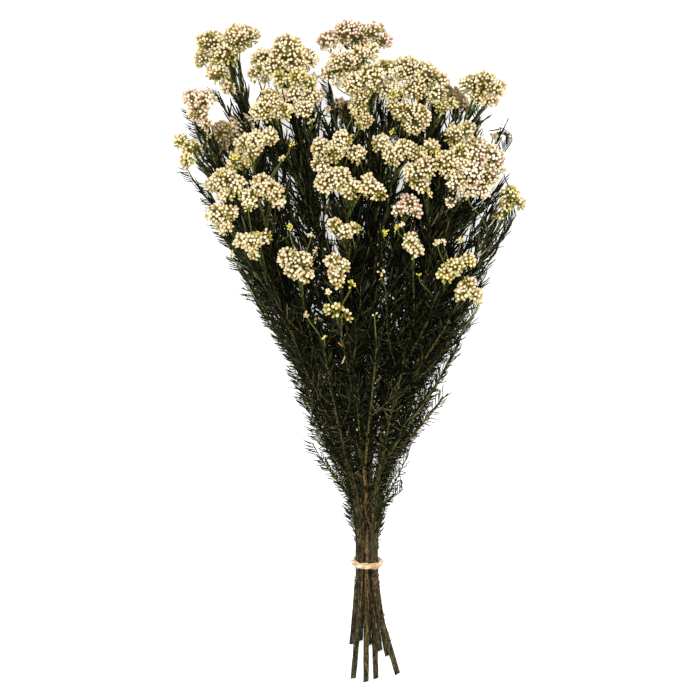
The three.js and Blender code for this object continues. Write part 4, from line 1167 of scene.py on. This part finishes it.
PEDICEL_R = 0.34
PEDICEL_TAPER = 0.8
PEDICEL_DEPTH = 1.5
PEDICEL_SHADES = (0.7, 1.3)
PEDICEL = (0.15, 0.17, 0.022)
STALK = (0.042, 0.055, 0.011)
STALK_BELOW = (12, 50)
STALK_R = (0.8, 0.6)
STALK_PULLS = (0.4, 0.3)
STALK_STEP = 4
STALK_SIDES = 5
STALK_SHADES = (0.6, 1.2)
SPRIG_REACH = vec(0, 28, 14)
SPRIG_END = unit(vec(0, 0.6, 0.8))
SPRIG_R = (0.75, 0.5)
SPRIG_PULLS = (0.5, 0.4)
SPRIG_STEP = 3
SPRIG_PALE = 0.75
SPRIG_SIDES = 0.8
SPRIG_FACING = vec(0, 0.3, 0.9)
SPRIG_SIZE = (0.9, 0.95)
SPRIG_UNEVEN = 0.3
SPRIG_YOUTH = (0.1, 0.3)
SPRIG_BUDS = (0.72, 0.98)


# A thin three-sided stalk from each start to each end
def add_pedicels(cloth, start, end):
    count = len(start)
    along = unit(end - start)
    across = unit(np.cross(along, unit(rng.normal(size=(count, 3)))))
    over = np.cross(along, across)
    ring = around(across[:, None], over[:, None], np.arange(3) * CIRCLE / 3) * PEDICEL_R
    points = np.concatenate([start[:, None] + ring, end[:, None] + ring * PEDICEL_TAPER], axis=1)
    tints = np.repeat(np.asarray(PEDICEL) * rng.uniform(*PEDICEL_SHADES, (count, 1)), 6, axis=0)
    cloth.add_copies(points, band_faces(2, 3), tints)


# A green stalk along a line, which pales toward its end
def add_stalk(cloth, line, radii, tints):
    _, side, up = frames_of(line)
    add_tube(cloth, line, side, up, np.linspace(*radii, len(line)), STALK_SIDES, tints)


# Stalks that leave the stem some way below a head, two to each of the hubs
def add_stalks(cloth, route, hubs):
    for hub in [*hubs, *hubs]:
        at, along, _, _ = route.frames(route.length - rng.uniform(*STALK_BELOW))
        line = bezier(at, unit(along + unit(hub - at)), hub, unit(hub - at), STALK_PULLS, STALK_STEP)
        pale = np.array(PEDICEL) * rng.uniform(*STALK_SHADES)
        add_stalk(cloth, line, STALK_R, mix(STALK, pale, np.linspace(0, 1, len(line)) ** 2))


def dress_head(buds, stalks, route, neighbours):
    head, socket = route.head, route.points[-1]
    hubs = hubs_of(head, socket)
    scale = np.interp(head.middle[1], BIG_BUDS_Y, BIG_BUDS)
    found = []
    for k, lobe in enumerate(head.lobes):
        if head.name not in LOOSE:
            add_heart(buds, lobe, hubs[k])
        at, way, cluster = buds_on_lobe(lobe, hubs[k], scale)
        others = np.delete(head.lobes, k, axis=0)
        clear = outside_lobes(at, others, OWN_DEPTH)
        at = at + way * crease_lift(at, others, lobe[3])[:, None]
        clear &= outside_lobes(at, neighbours, OTHERS_DEPTH)
        hub = np.repeat(hubs[k][None], len(at), axis=0)
        found.append([part[clear] for part in (at, way, hub, cluster + CLUSTER_STEP * k)])
    at, way, hub, cluster = [np.concatenate(parts) for parts in zip(*found)]
    at[:, 2] = np.maximum(at[:, 2], BUD_FLOOR)
    axis = unit(socket - route.place(route.length - AXIS_SPAN))
    youth = youth_of(head.kind, way, cluster, axis)
    bare = (youth > BARE_FROM) & (rng.uniform(0, 1, len(at)) < YOUNG_BARE)
    bare |= (way @ axis < FAN_BELOW) & (rng.uniform(0, 1, len(at)) < FAN_SHARE)
    unripe = (rng.uniform(0, 1, cluster.max() + 1) < UNRIPE)[cluster]
    at = at - way * np.where(unripe, UNRIPE_SINK, 0)[:, None]
    youth = np.maximum(youth, UNRIPE_YOUTH * unripe)
    bare |= rng.uniform(0, 1, len(at)) < LOOSE.get(head.name, 0)
    at, way, hub, cluster, youth = [part[~bare] for part in (at, way, hub, cluster, youth)]
    tints = bud_tints(head.kind, youth, cluster, WARMER.get(head.name, 0))
    way = unit(way + rng.normal(0, BUD_TILT, way.shape))
    size = BUD_SIZE * scale * rng.normal(1, BUD_VARIES, len(at)).clip(*BUD_SIZES)
    size = size * (1 - YOUNG_SMALLER * youth)
    kept = well_spaced(at, BUD_SPACING * scale)
    add_buds(buds, BUD, at[kept], way[kept], size[kept], youth[kept], [tint[kept] for tint in tints])
    add_pedicels(stalks, hub[kept], (at - way * PEDICEL_DEPTH)[kept])
    under = at - way * UNDER_SINK
    kept = well_spaced(under, UNDER_SPACING, at[kept])
    kept = [k for k in kept if rng.uniform() < UNDER_SHARE]
    # Painted shade: the buds further in, under the others, are darkened
    dark = mix(BUDS[head.kind][2], HUSK, rng.uniform(0, 1, len(at)))[kept] * UNDER_PAINTED_SHADE
    add_buds(buds, UNDER_BUD, under[kept], way[kept], size[kept], np.zeros(len(kept)), [dark] * 3)
    add_stalks(stalks, route, hubs[:-1])


# A small sprig of buds, on a curved stalk from the nearest branch
class Sprig:
    def __init__(self, row, routes):
        self.tip = vec(*row[:3])
        self.count = row[3]
        self.kind = row[4]
        self.route, k = nearest_route(routes, self.tip - SPRIG_REACH)
        self.root = self.route.points[k]


def dress_sprig(cloth, sprig):
    tip, count = sprig.tip, sprig.count
    leaving = unit(vec(0, 1, 0) + unit(tip - sprig.root))
    line = bezier(sprig.root, leaving, tip, SPRIG_END, SPRIG_PULLS, SPRIG_STEP)
    add_stalk(cloth, line, SPRIG_R, mix(STALK, PEDICEL, np.linspace(0, SPRIG_PALE, len(line))))
    way = unit(even_ways(count * 2)[:count] @ random_turn().T * SPRIG_SIDES + SPRIG_FACING)
    reach = SPRIG_SIZE[0] + SPRIG_SIZE[1] * count**0.5
    at = tip + way * reach + rng.normal(0, SPRIG_UNEVEN, (count, 3))
    youth = np.clip(rng.normal(BUDS[sprig.kind][3] + SPRIG_YOUTH[0], SPRIG_YOUTH[1], count), 0, 1)
    tints = bud_tints(sprig.kind, youth, np.arange(count))
    add_buds(cloth, BUD, at, way, rng.uniform(*SPRIG_BUDS, count), youth, tints)
    add_pedicels(cloth, np.repeat(tip[None] - vec(0, 0, 1), count, axis=0), at)


# Single leaves that stand out, on the branch nearest to a place: the place, the length, the
# width, the lean and the bend in degrees, and the colour
LEAVES = [
    [(-2, -10, 100), 14, 2.8, 12, 34, (0.44, 0.17, 0.09)],
    [(1, -8, 100), 15, 2.2, 16, -24, FRESH],
    [(-3, -12, 100), 10, 1.7, 150, -50, (0.50, 0.42, 0.26)],
    [(33, 196, 120), 13, 2.2, 60, -60, FRESH],
]
LEAF_SIDE = (-0.6, 0, 0.8)


def add_leaves(cloth, stem, routes):
    for place, length, width, lean, bend, tint in LEAVES:
        route, k = nearest_route(routes, place)
        if route.stem is stem:
            at, along, _, _ = route.frames(route.reach[k:k + 1])
            out = unit(LEAF_SIDE - along * (along @ LEAF_SIDE)[:, None])
            add_needles(cloth, at, out, along, vec(length), np.radians(vec(lean)),
                        np.radians(vec(bend)), vec(width), vec(*tint)[None])


# The raffia tie
STRANDS = 4
STRAND_WIDE = 2.5
STRAND_THICK = 0.36
STRAND_OUT = 1.5
STRAND_WIDTHS = (0.85, 1.1)
STRAND_SHADES = (0.8, 1.12)
STRAND_PROFILE = np.array([[-1, 0.1], [-0.45, 1], [0.1, 0.35], [0.6, 1], [1, 0], [0.4, -1], [-0.4, -0.8]])
TIE_CORNERS = [[1.5, 0], [1, 1], [-1, 1], [-1.5, 0], [-1, -1], [1, -1]]
TIE_OUT = BARE_R + 2.25
TIE_LEAN = -0.02
TIE_SAG = 0.42
TIE_TURNS = 2
TIE_COUNT = 220
RAFFIA = (0.52, 0.34, 0.17)
RAFFIA_PALE = (0.74, 0.58, 0.38)
RAFFIA_DARK = (0.24, 0.11, 0.04)
HOOP_WAVE = 0.25
HOOP_WAVES = 5
HOOP_STEP = 0.3
HOOP_SHADES = 3
RAFFIA_SHADE = 0.25
KNOT = TIE + vec(0, 0, -9.6)
KNOT_SIZE = vec(3.0, 2.4, 1.1)
KNOT_TILT = 0.6
KNOT_LEAN = 0.1
KNOT_PALE = 0.3
KNOT_COUNT = 60
TAIL = vec(8, -9, -2.2)
TAIL_FACING = vec(1, 0, 0.3)
TAILS_APART = 1.6
TAIL_WAVE = 0.5
TAIL_WAVES = 6
TAIL_TURN = (0.5, 2.2)
TAIL_PALE = 0.6
TAIL_COUNT = 24
TAIL_WIDE = 0.9


def tie_line():
    centres, outs = [], []
    for k, (place, row) in enumerate(TIE_CORNERS):
        for j in range(5):
            angle = math.pi / 3 * (k - 0.5 + j / 4)
            out = vec(math.cos(angle), 0, math.sin(angle))
            centre = vec(place * SLOT_PITCH, 0, row * ROW_RISE) + out * TIE_OUT
            centre[1] = TIE_LEAN * centre[0] - TIE_SAG * centre[2]
            centres.append(centre + TIE)
            outs.append(out)
    centres, outs = np.array([*centres, centres[0]]), np.array([*outs, outs[0]])
    reach = reach_of(centres)
    distance = np.linspace(0, reach[-1], TIE_COUNT)
    return sampled(distance, reach, centres), unit(sampled(distance, reach, outs))


# A flat creased strand along a line, by the directions of its width and its thickness
def add_strand(cloth, line, wide, thick, width, tints):
    size = width * rng.uniform(*STRAND_WIDTHS, len(line))
    rings = line[:, None] + wide[:, None] * (STRAND_PROFILE[:, 0] * size[:, None])[..., None]
    rings = rings + thick[:, None] * (STRAND_PROFILE[:, 1] * STRAND_THICK)[None, :, None]
    shades = rng.uniform(*STRAND_SHADES, (1, len(STRAND_PROFILE), 1)) * tints[:, None]
    add_rings(cloth, rings, shades, tints)


def add_hoop(cloth):
    line, out = tie_line()
    up = vec(0, 1, 0)[None]
    share = np.linspace(0, 1, TIE_COUNT)
    for k in range(STRANDS):
        turn = CIRCLE * (k / STRANDS + TIE_TURNS * share)
        wave = 1 + HOOP_WAVE * np.sin(CIRCLE * (share * (HOOP_WAVES + k) + k * HOOP_STEP))
        away = around(up, out, turn)
        shade = 0.5 + 0.5 * np.sin(CIRCLE * share * (HOOP_SHADES + k) + k)
        tints = mix(mix(RAFFIA, RAFFIA_PALE, shade), RAFFIA_DARK, RAFFIA_SHADE * (1 - shade))
        add_strand(cloth, line + away * STRAND_OUT * wave[:, None], around(out, -up, turn), away,
                   STRAND_WIDE, tints)


def add_knot(cloth):
    share = np.linspace(0, 1, KNOT_COUNT)
    for k in range(3):
        turn = CIRCLE * (share + k / 3)
        loop = np.stack([np.cos(turn), np.sin(turn), np.sin(turn + k)], axis=1) * KNOT_SIZE
        loop[:, 1] += KNOT_TILT * (k - 1) * np.cos(turn)
        out = unit(loop)
        aside = vec(0, 0, 1) + unit(np.gradient(loop, axis=0)) * KNOT_LEAN
        tints = mix(RAFFIA, RAFFIA_PALE, np.full(KNOT_COUNT, KNOT_PALE * k))
        add_strand(cloth, KNOT + loop, unit(np.cross(out, aside)), out, STRAND_WIDE, tints)


def add_tails(cloth):
    share = np.linspace(0, 1, TAIL_COUNT)
    for side in (-1, 1):
        for k in range(3):
            line = KNOT + np.stack([side * share, share**2, share], axis=1) * TAIL
            line[:, 1] += (k - 1) * TAILS_APART * share
            line[:, 2] += TAIL_WAVE * np.sin(share * TAIL_WAVES + k)
            along = unit(np.gradient(line, axis=0))
            up = unit(np.cross(along, TAIL_FACING))
            wide = around(up, np.cross(along, up), TAIL_TURN[0] * k + TAIL_TURN[1] * share)
            tints = mix(RAFFIA, RAFFIA_PALE, share * TAIL_PALE)
            add_strand(cloth, line, wide, np.cross(along, wide), TAIL_WIDE, tints)


# Materials. The relief is in metres, and a grain's stretch is along X, Y and Z.
RELIEF_DEPTH = 0.0004
EVEN = (1, 1, 1)
PATCH_GRAIN = 70
FLAKE_GRAIN = 760


# A shader node with its inputs set to values or linked to other nodes' outputs
def node(tree, kind, output, inputs, **settings):
    made = tree.nodes.new(f"ShaderNode{kind}")
    for name, value in settings.items():
        setattr(made, name, value)
    for name, value in inputs.items():
        if isinstance(value, bpy.types.NodeSocket):
            tree.links.new(value, made.inputs[name])
        else:
            made.inputs[name].default_value = value
    return made.outputs[output]


def noise(tree, scale, stretch, detail=6):
    place = node(tree, "TexCoord", "Object", {})
    vector = node(tree, "Mapping", "Vector", {"Vector": place, "Scale": stretch})
    return node(tree, "TexNoise", "Fac", {"Vector": vector, "Scale": scale, "Detail": detail})


def ramp(tree, value, low, high):
    inputs = {"Value": value, "From Min": 0.3, "From Max": 0.7, "To Min": low, "To Max": high}
    return node(tree, "MapRange", "Result", inputs)


def bounded(tree, value, low, high):
    return node(tree, "Clamp", "Result", {"Value": value, "Min": low, "Max": high})


def scaled(tree, colour, factor):
    return node(tree, "VectorMath", "Vector", {"Vector": colour, "Scale": factor}, operation="SCALE")


def plain_material(name, colour, roughness, specular):
    material = bpy.data.materials.new(name)
    material.use_nodes = True
    material.diffuse_color = (*colour, 1)
    shader = material.node_tree.nodes["Principled BSDF"]
    shader.inputs["Base Color"].default_value = (*colour, 1)
    shader.inputs["Roughness"].default_value = roughness
    shader.inputs["Specular IOR Level"].default_value = specular
    return material, material.node_tree, shader


# The vertex colour, made uneven by a grain, over a fine relief
def make_material(name, average, roughness, specular, grain, stretch, uneven, relief, extra=None):
    material, tree, shader = plain_material(name, average, roughness, specular)
    tint = node(tree, "Attribute", "Color", {}, attribute_name="tint")
    value = noise(tree, grain, stretch)
    colour = scaled(tree, tint, ramp(tree, value, 1 - uneven, 1 + uneven))
    if extra:
        colour = extra(tree, colour)
    tree.links.new(colour, shader.inputs["Base Color"])
    bump = node(tree, "Bump", "Normal", {"Strength": relief, "Distance": RELIEF_DEPTH, "Height": value})
    tree.links.new(bump, shader.inputs["Normal"])
    return material


# Bark with green patches and with pale and dark flakes
def with_moss(tree, colour):
    patches = ramp(tree, noise(tree, PATCH_GRAIN, (1, 0.45, 1), 3), -1.3, 0.75)
    flakes = ramp(tree, noise(tree, FLAKE_GRAIN, (1, 0.4, 1), 2), -0.5, 2.3)
    inputs = {"Factor": bounded(tree, patches, 0, 1), "B": (*MOSS, 1),
              "A": scaled(tree, colour, bounded(tree, flakes, 0.35, 1.5))}
    return node(tree, "Mix", "Result", inputs, data_type="RGBA")


def materials():
    return {
        "bark": make_material("bark", BARKS[0], 0.8, 0.12, 560, (1, 0.2, 1), 0.95, 1.0, with_moss),
        "needles": make_material("needles", NEEDLE_MID, 0.65, 0.05, 300, EVEN, 0.3, 0.3),
        "raffia": make_material("raffia", RAFFIA, 0.6, 0.35, 1400, (0.2, 1, 0.2), 0.25, 0.5),
        **{kind: make_material(f"buds_{kind}", BUDS[kind][0], 0.5, 0.25, 600, EVEN, 0.12, 0.4)
           for kind in SLOTS},
    }


# Floor, camera and lights
CAMERA_AT = (-0.0005, 0.0025, 9.08)
LENS = 514.3
FLOOR_SIZE = 6
FLOOR_COLOUR = (0.92, 0.92, 0.92)
FLOOR_GLOW = 0.5
LIT_PLACE = Vector((0, 0.02, 0.05))
LIGHTS = [("key", (-0.16, 0.26, 2.5), 0.6, 58), ("fill", (0.8, -0.1, 2.2), 1.4, 12)]
SKY = (1.0, 0.99, 0.96, 1)
SKY_STRENGTH = 0.7


def add_floor():
    bpy.ops.mesh.primitive_plane_add(size=FLOOR_SIZE, location=(0, 0, 0))
    floor = bpy.context.object
    floor.name = "floor"
    material, _, shader = plain_material("floor", FLOOR_COLOUR, 0.9, 0.1)
    shader.inputs["Emission Color"].default_value = (1, 1, 1, 1)
    shader.inputs["Emission Strength"].default_value = FLOOR_GLOW
    floor.data.materials.append(material)


def add_camera():
    data = bpy.data.cameras.new("camera")
    data.lens = LENS
    bpy.context.scene.camera = new_object("camera", data, CAMERA_AT)


def add_light(name, at, size, power):
    data = bpy.data.lights.new(name, "AREA")
    data.shape = "DISK"
    data.size = size
    data.energy = power
    light = new_object(name, data, at)
    light.rotation_euler = (LIT_PLACE - Vector(at)).to_track_quat("-Z", "Y").to_euler()
    light.visible_camera = False


def add_lights():
    for light in LIGHTS:
        add_light(*light)
    world = bpy.data.worlds.new("studio")
    world.use_nodes = True
    background = world.node_tree.nodes["Background"]
    background.inputs["Color"].default_value = SKY
    background.inputs["Strength"].default_value = SKY_STRENGTH
    bpy.context.scene.world = world
    bpy.context.scene.view_settings.view_transform = "Standard"


# Putting the bunch together
HEAD_CLEARANCE = 8
SHOOTS_FROM = 12
SHOOTS_BELOW_TIP = 45
BRANCH_BARE = 3


def dress_stem(stem, routes, sprigs, lobes, material):
    own = [route for route in routes if route.stem is stem]
    mains = [route for route in routes if route.main]
    wood = Cloth()
    needles = Cloth()
    shoots = twigs_of(stem, own[0])
    for route in own:
        stop = route.length - (HEAD_CLEARANCE if route.head else 0)
        shoots += side_shoots(route, lobes, route.leafy_from + SHOOTS_FROM, stop - SHOOTS_BELOW_TIP)
    for route in [*own, *shoots]:
        add_bark(wood, route, mains)
        start = route.leafy_from + (0 if route.main else BRANCH_BARE)
        stop = route.length - (HEAD_CLEARANCE if route.head else 0)
        cover_with_needles(needles, route, start, min(stop, route.comb_from - COMB_BARE))
        if route.comb_from <= route.length:
            add_comb(needles, route)
    add_leaves(needles, stem, routes)
    add_runners(wood, own[0])
    add_stubs(wood, own[0])
    add_dry_needles(needles, own[0])
    for route in own:
        if route.head:
            buds = Cloth()
            head = route.head
            others = lobes[np.linalg.norm(lobes[:, :3] - head.middle, axis=1) < OTHERS_WITHIN]
            others = others[~(others[:, None] == head.lobes[None]).all(axis=2).any(axis=1)]
            dress_head(buds, wood, route, others)
            add_piece(f"{head.name}_buds", buds, material[head.kind], SLOTS[head.kind], head.name)
    name = f"stem_{stem.name}"
    add_piece(f"{name}_wood", wood, material["bark"], "stem_and_needles", name)
    add_piece(f"{name}_needles", needles, material["needles"], "stem_and_needles", name)
    young = Cloth()
    for sprig in sprigs:
        if sprig.route.stem is stem:
            dress_sprig(young, sprig)
    if young.count:
        add_piece(f"{name}_sprigs", young, material["young"], SLOTS["young"], name)


def dress_tie(material):
    cloth = Cloth()
    add_hoop(cloth)
    add_knot(cloth)
    add_tails(cloth)
    add_piece("tie_strands", cloth, material["raffia"], "raffia", "tie")


def build():
    stems = [Stem(*row) for row in STEMS]
    heads = [head for stem in stems for head in stem.heads]
    routes = [route for stem in stems for route in routes_of(stem)]
    relax(routes, heads)
    lobes = np.vstack([head.lobes for head in heads])
    sprigs = [Sprig(row, routes) for row in SPRIGS]
    material = materials()
    for stem in stems:
        dress_stem(stem, routes, sprigs, lobes, material)
    dress_tie(material)


build()
add_floor()
add_camera()
add_lights()
